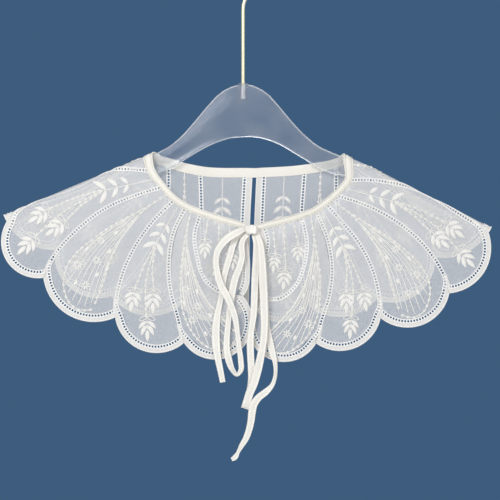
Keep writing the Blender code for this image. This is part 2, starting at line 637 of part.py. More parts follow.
clear_scene()
collar = new_collection("lace_collar")
cutters = new_collection("cutters")
half_collar("left_half", LEFT, keep_left, finish("left half organza", (0.80, 0.81, 0.82), 0.7))
half_collar("right_half", RIGHT, keep_right, finish("right half organza", (0.80, 0.81, 0.82), 0.7))
neck_binding(finish("bias binding", (0.88, 0.85, 0.78), 0.8))
bow_knot(finish("knot ribbon", (0.89, 0.86, 0.79), 0.8))
tie("left_loop", LEFT_LOOP, finish("left loop ribbon", (0.89, 0.86, 0.79), 0.8))
tie("left_tail", LEFT_TAIL, finish("left tail ribbon", (0.89, 0.86, 0.79), 0.8))
tie("right_loop", RIGHT_LOOP, finish("right loop ribbon", (0.89, 0.86, 0.79), 0.8))
tie("right_tail", RIGHT_TAIL, finish("right tail ribbon", (0.89, 0.86, 0.79), 0.8))
hanger_plate(finish("clear plastic", (0.9, 0.93, 0.95), 0.08, alpha=0.35))
hook_rod(finish("pale brass wire", (0.78, 0.74, 0.62), 0.3, metallic=1.0))
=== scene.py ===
"""The lace collar on its clear hanger, dressed for the render.

The cloth is made on the unfolded plane of each half, in mm (u along the shoulder fold, w across it, lift off the
cloth's inner face), and then folded to its place. The tables repeat part.py, apart from two back borders that run
straighter down here: across is mm to the right of the rod and drop is mm below the hook's inner top.
"""

import math

import bmesh
import bpy
import numpy as np
from mathutils import Matrix, Vector
from mathutils.bvhtree import BVHTree


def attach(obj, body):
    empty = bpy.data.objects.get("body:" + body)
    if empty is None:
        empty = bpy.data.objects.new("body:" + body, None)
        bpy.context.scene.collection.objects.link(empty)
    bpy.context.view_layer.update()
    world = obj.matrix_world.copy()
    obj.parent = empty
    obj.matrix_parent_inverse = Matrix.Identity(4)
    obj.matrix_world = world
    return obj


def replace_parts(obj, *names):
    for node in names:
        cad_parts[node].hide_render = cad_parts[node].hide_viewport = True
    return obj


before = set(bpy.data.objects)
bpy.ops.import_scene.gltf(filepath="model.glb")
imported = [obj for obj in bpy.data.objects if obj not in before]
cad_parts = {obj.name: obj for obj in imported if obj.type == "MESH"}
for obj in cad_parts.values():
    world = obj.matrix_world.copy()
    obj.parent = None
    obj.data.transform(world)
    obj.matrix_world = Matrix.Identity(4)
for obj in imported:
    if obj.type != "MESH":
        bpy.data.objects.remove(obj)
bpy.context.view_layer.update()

MM = 0.001
FRONT, BACK = 1, -1

# Shape, as in the part
CLOTH = 1.0
RIDGE = 0.5
FOLD_RADIUS = 3.5
FRONT_RISE = 9.0
BACK_RISE = 5.0
RISE_RUN = 50.0
NECK_LEAN = 8.0
NECK_CENTRE = (8.0, 290.0)
NECK_LEAN_REACH = (60.0, 55.0)
PETAL_CROWN = 1.4
FRONTS_MEET = (7.4, 9.7)
BAND_WIDTH = 8.0
TIE_WALL = 1.2
KNOT_PLACE = (8.3, 289.8)
PLATE_WALL = 3.6
PLATE_WEB = 2.2
PLATE_RIM = 1.9
PLATE_SLOPE = 1.6
PLATE_BEVEL = 0.9
# The width in mm of the band round the plate's outline that carries a painted rim highlight.
PLATE_RIM_HIGHLIGHT_WIDTH = 1.4
BOSS_RADIUS = 4.6
BOSS_DROPS = (142.6, 161.0)
ROD_RADIUS = 1.75
ROD_GAP = 0.3
ROD_FOOT = 158.0
HOOK_INNER = 19.0
SEAM_OVER_FOLD = (4.2, 0.0)
FIRST_BACK_BORDER = 5
NECK_HOLE = (-60.0, 20.0)
SMALL_CORNER = 3

# Cloth, as sewn
ORGANZA = (0.55, 0.8)
LADDER_PITCH = 3.0
LADDER_ROWS = (-2.2, -1.55, 1.55, 2.2)
BORDER_INSET = 2.0
LADDER_LIFTS = (0.45, 1.1)
HOLE_FRAME = 0.56
LADDER_CORD = 1.75
HEM_HOLES = 6.3
FRONT_HOLES = 6.3
SLIT_HOLES = 7.8
HEM_BAND = 4.4
CORNER_RUN = 8.0
FRONT_BAND = 0.72
KNOT_LOOK = (12.2, 11.0, 9.8)
KNOT_OUT = 1.6
WAVE = 0.35

# Each border runs from the neck to its notch in the hem. Columns: layer, across, drop. A bulge is how far the hem's
# arc stands out from its petal's two notches.
LEFT = {
    "fold": ((-94.2, 214.1), (-239.6, 274.6)),
    "front_neck": (FRONT, 1.0, 289.2),
    "front_edge": ((FRONT, 5.6, 308), (FRONT, 7.3, 330), (FRONT, 4.5, 350), (FRONT, 0.3, 356.3)),
    "borders": (
        ((FRONT, -43, 275.4), (FRONT, -48.4, 295), (FRONT, -46, 316), (FRONT, -37, 340.5),
         (FRONT, -23.6, 351.2), (FRONT, 0.3, 356.3)),
        ((FRONT, -58.2, 269.1), (FRONT, -68.8, 290.5), (FRONT, -74.2, 322), (FRONT, -72.8, 348.4),
         (FRONT, -65, 378), (FRONT, -59, 403)),
        ((FRONT, -70, 261.3), (FRONT, -88.9, 280), (FRONT, -105, 301.7), (FRONT, -117.3, 325.6),
         (FRONT, -125.8, 354.7), (FRONT, -127.8, 377.5)),
        ((FRONT, -83, 247.6), (FRONT, -104.3, 254.3), (FRONT, -137, 268), (FRONT, -168, 291.8),
         (FRONT, -189, 316), (FRONT, -199.5, 338)),
        ((FRONT, -95.5, 230.4), (FRONT, -115, 228.9), (BACK, -140, 235), (BACK, -185, 256),
         (FRONT, -224, 270), (FRONT, -236.9, 281)),
        ((BACK, -90.4, 220), (BACK, -113, 230), (BACK, -143, 246), (BACK, -168, 266),
         (BACK, -185, 288), (BACK, -190, 310)),
        ((BACK, -75, 225.9), (BACK, -75.5, 250), (BACK, -80, 275), (BACK, -90, 303),
         (BACK, -108, 332), (BACK, -133, 356.6)),
        ((BACK, -43, 233.6), (BACK, -42, 268), (BACK, -42, 307), (BACK, -50, 340), (BACK, -63, 366)),
    ),
    "slit_edge": ((BACK, 9.6, 235.4), (BACK, 7.1, 285), (BACK, 6.6, 335), (BACK, 6, 365)),
    "bulges": (0, 40.5, 21.5, 20.5, 21.5, 13, 20, 15, 17),
}
RIGHT = {
    "fold": ((104.5, 215.4), (251.1, 287.8)),
    "front_neck": (FRONT, 15.2, 290.4),
    "front_edge": ((FRONT, 18.6, 301), (FRONT, 15.9, 316), (FRONT, 12.4, 338), (FRONT, 15, 358.5)),
    "borders": (
        ((FRONT, 59, 278.5), (FRONT, 63.6, 300), (FRONT, 61.5, 324), (FRONT, 53, 345),
         (FRONT, 38.8, 357.6), (FRONT, 15, 358.5)),
        ((FRONT, 73.6, 272.7), (FRONT, 84.7, 299.8), (FRONT, 89, 327), (FRONT, 86.1, 356.5),
         (FRONT, 78, 382), (FRONT, 73.1, 403.5)),
        ((FRONT, 84.1, 265.4), (FRONT, 99.7, 283), (FRONT, 115.1, 302), (FRONT, 128.5, 327.2),
         (FRONT, 135.7, 354.2), (FRONT, 137.6, 378.2)),
        ((FRONT, 95.1, 255.9), (FRONT, 121.3, 264.6), (FRONT, 152, 280.5), (FRONT, 180.8, 305.2),
         (FRONT, 200.1, 334), (FRONT, 206.3, 353.4)),
        ((FRONT, 108.6, 240), (FRONT, 124.6, 239.6), (FRONT, 151.4, 243.2), (FRONT, 180.8, 254),
         (FRONT, 214.3, 272.6), (FRONT, 246.5, 292.5)),
        ((BACK, 103.1, 221.6), (BACK, 123, 236), (BACK, 152, 252), (BACK, 176, 272),
         (BACK, 191, 295), (BACK, 194, 317.4)),
        ((BACK, 94, 225.7), (BACK, 94, 250), (BACK, 97, 276), (BACK, 105, 305),
         (BACK, 118, 336), (BACK, 134, 360)),
        ((BACK, 62, 232), (BACK, 59.2, 272.3), (BACK, 58, 310), (BACK, 60, 340), (BACK, 65, 365)),
    ),
    "slit_edge": ((BACK, 13.3, 235.4), (BACK, 11.2, 285), (BACK, 9.9, 335), (BACK, 9.4, 366)),
    "bulges": (0, 42, 18.5, 20.5, 17.5, 13, 20, 15, 17),
}

PLATE_TOP = (
    (-85, 211.8), (-76, 207.2), (-62.7, 196.4), (-49.3, 181.6), (-35.9, 165.6), (-26, 155),
    (-17, 148.5), (-8, 144.9), (0, 143.6), (8, 144.4), (17, 147.9), (26, 154.2), (35.9, 165),
    (49.3, 181), (62.7, 195), (76, 205.6), (85, 210.2), (94, 213.9),
)
PLATE_BOTTOM = (
    (112, 234), (96, 234.5), (76.6, 228.7), (64.5, 220.7), (51.1, 212.7), (37.7, 204.6), (24.3, 199.3),
    (10.9, 196.6), (-2.4, 196.6), (-15.8, 198.6), (-29.2, 203.3), (-42.6, 210), (-56, 218),
    (-68.1, 225.4), (-84, 232), (-99, 232.5),
)
SEATS = (-2.0, 9.0)
ARM_TIP = (14.0, 7.0)
FACET_ROOM = 1.3
HOOK_NECK = ((0, 70), (0.6, 63), (3.4, 55.5), (8.6, 47.5))
HOOK_TURN = (-42.0, 205.0)
THREAD_TOP = 144.5

# The ties, down from the knot. Columns: across, drop, out (mm in front of the cloth), width, turn (degrees).
LEFT_LOOP = (
    (2.6, 289.2, 1.5, 4.6, 0), (-1, 290, 3.6, 5.6, 0), (-6, 292.8, 5.9, 7, 6), (-13.5, 297, 6.4, 7.5, 5),
    (-20.5, 303.5, 6.2, 7, 0), (-25.2, 311, 6, 6.5, 0), (-27, 320, 6, 6, 0), (-25.5, 333, 6, 6.5, 0),
    (-21.7, 345.5, 6.2, 7, 0),
    (-16.5, 355, 6.4, 7, 0), (-12, 365, 6.4, 6.5, 0), (-8, 377, 6.2, 6, 0), (-5.7, 391, 5.8, 5, 0),
    (-4, 406, 5.4, 5, 0), (-2.2, 420, 5, 5.6, 10), (-2.2, 430, 4.6, 6, 45), (-6, 434.6, 3.9, 6, 66),
    (-10.8, 429, 3.1, 6.5, 45), (-14.4, 419, 2.6, 7, 10), (-16.3, 408, 2.4, 6.5, 0), (-16, 396, 2.4, 6, 0),
    (-14.7, 382, 2.4, 5.5, 0), (-13.4, 369, 2.4, 6, 0), (-11.2, 354, 2.4, 7, 0), (-7.6, 337.5, 2.6, 7, 0),
    (-3.4, 326.5, 2.9, 6.5, 0), (-0.9, 316, 3.2, 6, 0), (-1.4, 306, 3.6, 6, 0), (0.2, 299.6, 3.8, 5, 0),
    (4.4, 295, 1.4, 4, 0),
)
LEFT_TAIL = (
    (2.8, 292, -0.3, 3.4, 0), (-1.4, 293.9, 0.6, 4.4, 0), (-6.4, 298, 0.9, 5.5, 0), (-10.4, 306, 0.9, 6.5, 0),
    (-12.5, 314, 0.9, 6.5, 0),
    (-15.5, 324, 0.9, 6.5, 0), (-18.5, 335, 0.9, 6, 0), (-20.5, 347, 0.9, 6, 0), (-22.5, 360, 0.9, 5.5, 0),
    (-24.5, 369, 0.9, 6, 0), (-26.6, 382.5, 0.9, 7.5, 0), (-27.2, 393.4, 0.9, 8, 0), (-26.9, 404, 1.2, 8, 0),
    (-25.5, 415, 1.6, 7, 0), (-22.3, 431.3, 1.6, 6, 0), (-20.2, 442, 1.2, 5.5, 0),
)
RIGHT_LOOP = (
    (10.4, 294.7, 1, 4, 0), (12.4, 301, 2.4, 5, 0), (12.9, 314, 3, 6, 0), (12.1, 335, 2.6, 7, 0),
    (11.4, 355, 2.6, 7, 0), (10.2, 377, 2.6, 6.5, 0), (8.2, 390, 2.6, 6, 0), (7.3, 402, 2.6, 7, 0),
    (7.6, 415, 2.6, 7, 0), (8.3, 427, 2.6, 7, 0), (8.3, 439, 2.6, 6.5, 0), (6.8, 451, 2.6, 7, 0),
    (4.2, 460.5, 2.6, 7.5, 0), (2.4, 466.4, 2.9, 8, 0), (1.9, 467.8, 4.3, 8, 0), (2.4, 466.4, 5.7, 8, 0),
    (4.4, 460, 6, 8, 0), (6.7, 452.4, 6, 8, 0), (10.2, 444.6, 6, 8, 0), (13.4, 434.5, 6, 8, 0),
    (16, 424, 6, 8, 0), (18.2, 413, 6, 7.5, 0), (20.3, 401, 6, 7, 0), (21.2, 388, 6, 7, 0),
    (21.3, 377, 6, 7.5, 0), (20.6, 355, 6.2, 8, 0),
    (19.6, 335, 6.4, 8, 0), (18.6, 315, 6.4, 6.5, 0), (16.6, 301, 5.4, 5.5, 0), (13.7, 293.8, 2, 4, 0),
)
RIGHT_TAIL = (
    (14.9, 293, -0.6, 3.4, 0), (18.2, 302.6, 0.9, 5, 0), (20.4, 322, 0.9, 6, 0), (21.6, 350, 0.9, 6.5, 0),
    (22.6, 370, 0.9, 6.5, 0), (24, 388, 0.9, 6.5, 0), (26.8, 401, 0.9, 6.5, 0), (29.2, 412, 1, 6.5, 0),
    (31.8, 421, 1.4, 5, 25), (32.6, 430.6, 2.4, 4.5, 45), (31.6, 438.3, 4.2, 4.5, 45), (28.9, 444.9, 6.4, 5, 35),
    (22.8, 451.2, 8.4, 6.5, 10), (15.4, 457, 9, 7, 0), (10.8, 463.6, 9, 7.5, 0), (9, 471.4, 9, 7.5, 0),
    (8, 480, 8.6, 7, 0), (6.2, 488.3, 8, 6.5, 0), (2.8, 497.8, 7.4, 6, 0), (-1.5, 505, 7, 5, 0),
    (-5.3, 512.2, 6.8, 3.6, 0), (-7, 515.4, 6.8, 5, 0), (-8.8, 517.2, 6.8, 5, 0), (-11.4, 518.6, 6.8, 3.6, 0),
)

# Embroidery charts. Places are shares of a petal: across from its inner border, and down from the neck.
SPRAY_STEM = ((0.5, 0.0), (0.5, 0.30))
# Columns: down, leaf length, leaf width, in mm.
SPRAY_PAIRS = ((0.15, 10.5, 3.9), (0.215, 12.5, 4.4), (0.285, 15.0, 5.0))
SPRAY_BEADS = (
    ((0.5, 0.31), (0.47, 0.55), (0.43, 0.76)),
    ((0.53, 0.32), (0.60, 0.46), (0.66, 0.62)),
    ((0.47, 0.32), (0.39, 0.44), (0.31, 0.56)),
)
# Columns: across, down, size.
SPRAY_TUFTS = ((0.42, 0.80, 1.0), (0.67, 0.66, 1.0), (0.31, 0.61, 1.0))
# One tuft of leaves. Columns: mm below its top, degrees from straight down, length, width.
TUFT = ((0, -56, 11.5, 4.2), (0, 56, 11.5, 4.2), (4.0, -38, 12.0, 4.4), (4.0, 38, 12.0, 4.4), (8.4, 0, 12.0, 4.5))
LEAF_BEND = 38
OPEN_PAIR = (70, 9.0, 3.8)
PAIR_SPREAD = 68
SMALL_BEADS = (((0.2, 0.0), (0.2, 0.36)), ((0.5, 0.0), (0.5, 0.58)), ((0.8, 0.0), (0.8, 0.30)))
SMALL_TUFTS = ((0.2, 0.43, 0.8), (0.5, 0.66, 0.9), (0.8, 0.37, 0.8))
BEAD_PITCH = 6.0
BEAD = (4.2, 3.3, 1.35)
BEAD_LIFT = 0.9
FAN_STEM = ((0.5, 0.0), (0.5, 0.13))
FAN_OUTER = (
    (0.5, 0.13), (0.57, 0.24), (0.66, 0.38), (0.73, 0.54), (0.78, 0.68), (0.76, 0.80), (0.67, 0.88), (0.54, 0.93),
    (0.40, 0.94), (0.28, 0.92),
)
FAN_INNER = ((0.49, 0.16), (0.42, 0.28), (0.34, 0.42), (0.27, 0.58), (0.22, 0.74), (0.24, 0.87))
FAN_TOP = 0.23
FAN_FEET = (
    (0.26, 0.66), (0.24, 0.80), (0.29, 0.88), (0.36, 0.91), (0.44, 0.92), (0.52, 0.91), (0.60, 0.89), (0.67, 0.85),
    (0.725, 0.78), (0.73, 0.66),
)
FAN_LEAN = 0.12
# Columns: across, down, radius in mm.
DAISIES = ((0.61, 0.50, 4.6), (0.47, 0.61, 4.6), (0.66, 0.71, 5.0), (0.43, 0.78, 4.8))
BUDS = ((0.50, 0.40), (0.38, 0.52), (0.70, 0.60), (0.35, 0.69), (0.56, 0.80))


def settle(x):
    """0 to 1 with level ends."""
    x = np.clip(x, 0.0, 1.0)
    return x * x * (3 - 2 * x)


def curve(points, axes=2, steps=24):
    """A dense smooth polyline through points, and the length along it at each one, measured on the first axes."""
    points = np.array(points, float)
    chords = np.linalg.norm(np.diff(points[:, :axes], axis=0), axis=1)
    at = np.concatenate([[0], np.cumsum(chords)])
    slope = np.gradient(points, at, axis=0) if len(points) > 2 else np.diff(points, axis=0)[[0, 0]] / at[-1]
    dense, knots = [points[0]], [0]
    for i, span in enumerate(chords):
        for t in np.linspace(0, 1, steps + 1)[1:]:
            dense.append(
                (2 * t**3 - 3 * t**2 + 1) * points[i]
                + (t**3 - 2 * t**2 + t) * span * slope[i]
                + (3 * t**2 - 2 * t**3) * points[i + 1]
                + (t**3 - t**2) * span * slope[i + 1]
            )
        knots.append(len(dense) - 1)
    dense = np.array(dense)
    length = np.concatenate([[0], np.cumsum(np.linalg.norm(np.diff(dense[:, :axes], axis=0), axis=1))])
    return dense, length, length[knots]


def along(dense, length, where):
    """The points of a dense polyline at these lengths."""
    return np.stack([np.interp(where, length, dense[:, k]) for k in range(dense.shape[1])], axis=-1)


def even(points, step):
    """Points about step apart along the smooth curve through these ones."""
    dense, length, _ = curve(points)
    return along(dense, length, np.linspace(0, length[-1], max(2, round(length[-1] / step)) + 1))


def swell(layer, across, drop, below):
    """How far a layer stands off the fold's own thickness, this far below the fold."""
    settled = settle(below / RISE_RUN)
    lean = np.exp(
        -(((across - NECK_CENTRE[0]) / NECK_LEAN_REACH[0]) ** 2)
        - ((drop - NECK_CENTRE[1]) / NECK_LEAN_REACH[1]) ** 2
    )
    return settled * np.where(layer == BACK, BACK_RISE, FRONT_RISE + NECK_LEAN * lean)


class Fold:
    """The shoulder fold of one half: it takes points to and from the unfolded plane."""

    def __init__(self, ends):
        start, end = np.array(ends, float)
        self.along = (end - start) / np.linalg.norm(end - start)
        self.down = np.array([-self.along[1], self.along[0]])
        self.down *= np.sign(self.down[1])
        self.start = start + CLOTH * self.down

    def unfold(self, layer, across, drop):
        offset = np.array([across, drop]) - self.start
        below = max(offset @ self.down, 0.0)
        if below < FOLD_RADIUS:
            reach = FOLD_RADIUS * math.acos(1 - below / FOLD_RADIUS)
        else:
            reach = below + (math.pi / 2 - 1) * FOLD_RADIUS
        return offset @ self.along, layer * reach

    def place(self, flat):
        """Flat points (u, w, lift), folded to their place, in metres."""
        u, w, lift = np.asarray(flat, float).T
        layer = np.where(w >= 0, FRONT, BACK)
        angle = np.minimum(abs(w) / FOLD_RADIUS, math.pi / 2)
        below = FOLD_RADIUS * (1 - np.cos(angle)) + np.maximum(abs(w) - FOLD_RADIUS * math.pi / 2, 0)
        spot = self.start + u[:, None] * self.along + (below - lift * np.cos(angle))[:, None] * self.down
        depth = FOLD_RADIUS * np.sin(angle) + swell(layer, spot[:, 0], spot[:, 1], below) + lift * np.sin(angle)
        return np.stack([spot[:, 0], -layer * depth, -spot[:, 1]], axis=1) * MM


class Track:
    """A smooth line on the unfolded plane, read by its share from 0 to 1."""

    def __init__(self, points):
        self.dense, self.length, _ = curve(points)
        self.total = self.length[-1]

    def __call__(self, share):
        return along(self.dense, self.length, np.asarray(share) * self.total)


class Arc:
    """The round hem from one notch to the next, standing out by bulge."""

    def __init__(self, start, end, bulge, away_from):
        start, end = np.array(start), np.array(end)
        middle, half = (start + end) / 2, np.linalg.norm(end - start) / 2
        self.ahead = (end - start) / (2 * half)
        self.out = np.array([-self.ahead[1], self.ahead[0]])
        self.out *= np.sign(self.out @ (middle - away_from))
        self.radius = (half**2 + bulge**2) / (2 * bulge)
        self.centre = middle + (bulge - self.radius) * self.out
        self.sweep = math.atan2(half, self.radius - bulge)
        self.total = 2 * self.sweep * self.radius

    def at_angle(self, angle, inset=0.0):
        angle = np.asarray(angle)[..., None]
        return self.centre + (self.radius - inset) * (np.sin(angle) * self.ahead + np.cos(angle) * self.out)

    def __call__(self, share):
        return self.at_angle(self.sweep * (2 * np.asarray(share) - 1))

    def angle_of(self, point):
        offset = point - self.centre
        return math.atan2(offset @ self.ahead, offset @ self.out)

    def away(self, points):
        """How far points lie from the hem's edge."""
        rim = self(np.linspace(0, 1, 90))
        return np.linalg.norm(points[..., None, :] - rim, axis=-1).min(-1)


class Petal:
    """One petal: at(t, s) is its point t across from its inner side and s down from the neck."""

    def __init__(self, kind, inner, outer, neck, hem, insets):
        self.kind, self.inner, self.outer, self.neck, self.hem, self.insets = kind, inner, outer, neck, hem, insets
        self.lean = 0.0

    def at(self, t, s):
        t, s = np.broadcast_arrays(np.asarray(t, float), np.asarray(s, float))
        a, b = t[..., None], s[..., None]
        corners = (1 - b) * ((1 - a) * self.inner(0) + a * self.outer(0)) + b * (
            (1 - a) * self.inner(1) + a * self.outer(1)
        )
        sides = (1 - a) * self.inner(s) + a * self.outer(s)
        return sides + (1 - b) * self.neck(t) + b * self.hem(t) - corners

    def worked(self, t, s):
        """A point by its share across the cloth between the openwork lines."""
        width = max(np.linalg.norm(self.at(1, s) - self.at(0, s)), 1e-6)
        first, over = (min(inset / width, 0.45) for inset in self.insets)
        return self.at(first + (1 - first - over) * (0.5 + (t - 0.5) * (1 - self.lean) + self.lean), s)

    def down(self, t, s):
        step = self.worked(t, s + 0.01) - self.worked(t, s - 0.01)
        return step / np.linalg.norm(step)

    def crown(self, t, s):
        """The cloth's own rise between the stiff lines, with soft waves that run down the petal."""
        held = np.sin(math.pi * t)
        rise = PETAL_CROWN * held * np.sin(math.pi * np.minimum(s * 1.1, 1)) ** 0.7
        return np.where(s < 0.9, rise, 0) + WAVE * held * np.sin(math.pi * s) * np.sin(9 * t + 3 * s + 2)


class Half:
    """One half of the collar, laid out flat."""

    def __init__(self, side, table):
        self.side, self.fold = side, Fold(table["fold"])
        unfold = self.fold.unfold
        borders = [[unfold(*row) for row in rows] for rows in table["borders"]]
        edge = [unfold(*table["front_neck"])] + [unfold(*row) for row in table["front_edge"]]
        slit = [unfold(*row) for row in table["slit_edge"]]
        neck = [edge[0]] + [border[0] for border in borders] + [slit[0]]
        over = FIRST_BACK_BORDER + 1
        neck.insert(over, SEAM_OVER_FOLD)
        self.neck_dense, self.neck_length, knots = curve(neck)
        knots = np.delete(knots, over)
        self.front_edge, self.slit_edge = Track(edge), Track(slit)
        self.borders = [Track(border) for border in borders]
        small_side = Track(borders[0][: SMALL_CORNER + 1])
        small_hem = Track(borders[0][SMALL_CORNER:][::-1])
        border = BORDER_INSET
        front_inset, slit_inset = FRONT_HOLES + border, SLIT_HOLES + border
        self.petals = [
            Petal("small", self.front_edge, small_side, self.neck_part(knots, 0), small_hem, (front_inset, border))
        ]
        sides = [*self.borders, self.slit_edge]
        for i, bulge in enumerate(table["bulges"]):
            if i:
                neck_part = self.neck_part(knots, i)
                hem = Arc(sides[i - 1](1), sides[i](1), bulge, neck_part(0.5))
                insets = (border, slit_inset if i == len(sides) - 1 else border)
                kind = "fan" if i % 2 else "spray"
                self.petals.append(Petal(kind, sides[i - 1], sides[i], neck_part, hem, insets))

        self.petals[1].lean = FAN_LEAN

    def neck_part(self, knots, i):
        return lambda t: along(self.neck_dense, self.neck_length, knots[i] + np.asarray(t) * (knots[i + 1] - knots[i]))


def grid_verts(bm, columns, rows):
    """A new grid's vertices, each with its share across and down."""
    made = bmesh.ops.create_grid(bm, x_segments=columns, y_segments=rows, size=0.5, calc_uvs=True)["verts"]
    return [(vert, vert.co.x + 0.5, vert.co.y + 0.5) for vert in made]


def scale_uvs(bm, verts, across, down):
    """Turns the new faces' own UVs from shares into metres."""
    uv = bm.loops.layers.uv.active
    for face in {face for vert in verts for face in vert.link_faces}:
        for loop in face.loops:
            loop[uv].uv = (loop[uv].uv[0] * across * MM, loop[uv].uv[1] * down * MM)


def new_sewing():
    bm = bmesh.new()
    bm.loops.layers.uv.verify()
    return bm


def side_of(line):
    """Unit vectors to the left of a line on the plane."""
    ahead = np.gradient(line, axis=0)
    ahead /= np.linalg.norm(ahead, axis=1)[:, None]
    return np.stack([-ahead[:, 1], ahead[:, 0]], axis=1)


def sweep(bm, line, section, taper=0.0):
    """A closed strip along a line on the plane. Each corner of its section is (offset to the left, lift)."""
    side, count = side_of(line), len(section)
    found = grid_verts(bm, len(line) - 1, count)
    length = np.linalg.norm(np.diff(line, axis=0), axis=1).sum()
    girth = sum(math.dist(section[k], section[k - 1]) for k in range(count))
    scale_uvs(bm, [vert for vert, _, _ in found], length, girth)
    middle = np.mean(section, axis=0)
    for vert, x, y in found:
        i, k = round(x * (len(line) - 1)), round(y * count) % count
        small = 1 - taper if i in (0, len(line) - 1) else 1
        offset, lift = middle + (np.array(section[k]) - middle) * small
        vert.co = (*(line[i] + offset * side[i]), lift)
    verts = [vert for vert, _, _ in found]
    merged = bmesh.ops.find_doubles(bm, verts=verts, dist=1e-5)["targetmap"]
    bmesh.ops.weld_verts(bm, targetmap=merged)
    rims = [e for vert in verts if vert.is_valid for e in vert.link_edges if e.is_boundary]
    bmesh.ops.holes_fill(bm, edges=list(set(rims)), sides=count + 1)


def round_section(width, low, high, corners=8):
    """A rounded section, width across and from low to high."""
    turn = [2 * math.pi * k / corners for k in range(corners)]
    return [(width / 2 * math.cos(a), (low + high) / 2 + (high - low) / 2 * math.sin(a)) for a in turn]


def turned(heading, degrees):
    angle = math.radians(degrees)
    return np.array([
        heading[0] * math.cos(angle) - heading[1] * math.sin(angle),
        heading[0] * math.sin(angle) + heading[1] * math.cos(angle),
    ])


def leaf(bm, base, heading, length, width, bend=0.0, low=0.45, high=1.5, segments=8, rings=6):
    """A padded satin leaf from its base, pointed at both ends, which turns by bend degrees on its way."""
    made = bmesh.ops.create_uvsphere(bm, u_segments=segments, v_segments=rings, radius=0.5, calc_uvs=True)["verts"]
    scale_uvs(bm, made, 2 * width, length)
    for vert in made:
        share = min(max(vert.co.z + 0.5, 0), 1)
        round_off = math.hypot(vert.co.x, vert.co.y)
        x, y = (vert.co.x / round_off, vert.co.y / round_off) if round_off > 1e-4 else (0, 0)
        full = math.sin(math.pi * share ** 0.85) ** 0.8
        way = turned(heading, bend * share)
        spot = base + turned(heading, bend * share / 2) * share * length
        spot = spot + np.array([-way[1], way[0]]) * x * full * width / 2
        vert.co = (*spot, (low + high) / 2 + y * full * (high - low) / 2)


def open_leaf(bm, base, heading, length, width):
    """A leaf worked as an outline of two curved threads."""
    beside = np.array([-heading[1], heading[0]])
    for hand in (-1, 1):
        shares = np.linspace(0, 1, 7)
        line = [base + heading * s * length + hand * beside * width / 2 * math.sin(math.pi * s) for s in shares]
        sweep(bm, np.array(line), round_section(0.95, 0.5, 1.35, 6))


def thread(bm, petal, places, width=0.65, high=1.15):
    """A plain worked line through places on a petal."""
    sweep(bm, even([petal.worked(*place) for place in places], 3.0), round_section(width, 0.5, high, 6), 0.4)


def bead_line(bm, petal, places):
    """A row of small knots on a fine thread."""
    line = even([petal.worked(*place) for place in places], BEAD_PITCH)
    sweep(bm, line, round_section(1.05, 0.5, 1.25, 6))
    ahead = np.gradient(line, axis=0)
    for spot, step in zip(line, ahead):
        step = step / np.linalg.norm(step)
        made = bmesh.ops.create_icosphere(bm, subdivisions=1, radius=0.5, calc_uvs=True)["verts"]
        for vert in made:
            where = spot + step * vert.co.x * BEAD[0] + np.array([-step[1], step[0]]) * vert.co.y * BEAD[1]
            vert.co = (*where, BEAD_LIFT + vert.co.z * BEAD[2])


def tuft(bm, petal, across, down, size):
    """Five leaves down a short stem, under a pair worked in outline."""
    top, heading = petal.worked(across, down), petal.down(across, down)
    for below, degrees, length, width in TUFT:
        hand = np.sign(degrees)
        leaf(bm, top + heading * below * size, turned(heading, degrees + hand * 12), length * size, width * size,
             -hand * LEAF_BEND)
    spread, length, width = OPEN_PAIR
    for hand in (-1, 1):
        open_leaf(bm, top - heading * 4.5 * size, turned(heading, hand * spread), length * size, width * size)
    sweep(bm, even([top - heading * 8 * size, top + heading * 8 * size], 4), round_section(0.9, 0.5, 1.3, 6))


def spray_leaves(bm, petal, scale):
    """The stem of a leaf petal with its three pairs of leaves. Three bead lines that end in tufts go on from it."""
    thread(bm, petal, SPRAY_STEM, 1.15, 1.4)
    for down, length, width in SPRAY_PAIRS:
        base, heading = petal.worked(0.5, down), petal.down(0.5, down)
        for hand in (-1, 1):
            leaf(bm, base, turned(heading, hand * PAIR_SPREAD), length * scale, width, -hand * LEAF_BEND)


def small_spray(bm, petal):
    for places in SMALL_BEADS:
        bead_line(bm, petal, places)
    for across, down, size in SMALL_TUFTS:
        tuft(bm, petal, across, down, size)


def daisy(bm, petal, across, down, radius):
    centre, heading = petal.worked(across, down), petal.down(across, down)
    for k in range(8):
        way = turned(heading, 45 * k)
        leaf(bm, centre + way * 0.9, way, radius - 0.9, 1.7, 0, 0.5, 1.4, 6, 4)


def fan_lines(bm, petal):
    """The fine lines that fan inside the beaded teardrop of a line petal."""
    for k, (across, down) in enumerate(FAN_FEET):
        top = (0.5 + (across - 0.5) * 0.3, FAN_TOP + 0.07 * (k % 2))
        bent = ((top[0] + across) / 2 + (across - 0.5) * 0.1, (top[1] + down) / 2)
        thread(bm, petal, (top, bent, (across, down)), 1.0, 1.25)


def fan_flowers(bm, petal, scale):
    """The daisies and buds on a line petal."""
    for across, down, radius in DAISIES:
        daisy(bm, petal, across, down, radius * (0.6 + 0.4 * scale))
    for across, down in BUDS:
        base, heading = petal.worked(across, down), petal.down(across, down)
        leaf(bm, base - heading * 3 * scale, heading, 6.2 * scale, 3.6 * scale, 0, 0.5, 1.5, 6, 4)


def cloth_surface(half):
    """The flat cloth of a half as one surface to read heights from."""
    bm = new_sewing()
    for petal in half.petals:
        found = grid_verts(bm, 20, 40)
        shares = np.array([(x, y) for _, x, y in found])
        spots, rises = petal.at(shares[:, 0], shares[:, 1]), petal.crown(shares[:, 0], shares[:, 1])
        for (vert, _, _), spot, rise in zip(found, spots, rises):
            vert.co = (*spot, rise)
    tree = BVHTree.FromBMesh(bm)
    bm.free()
    return tree


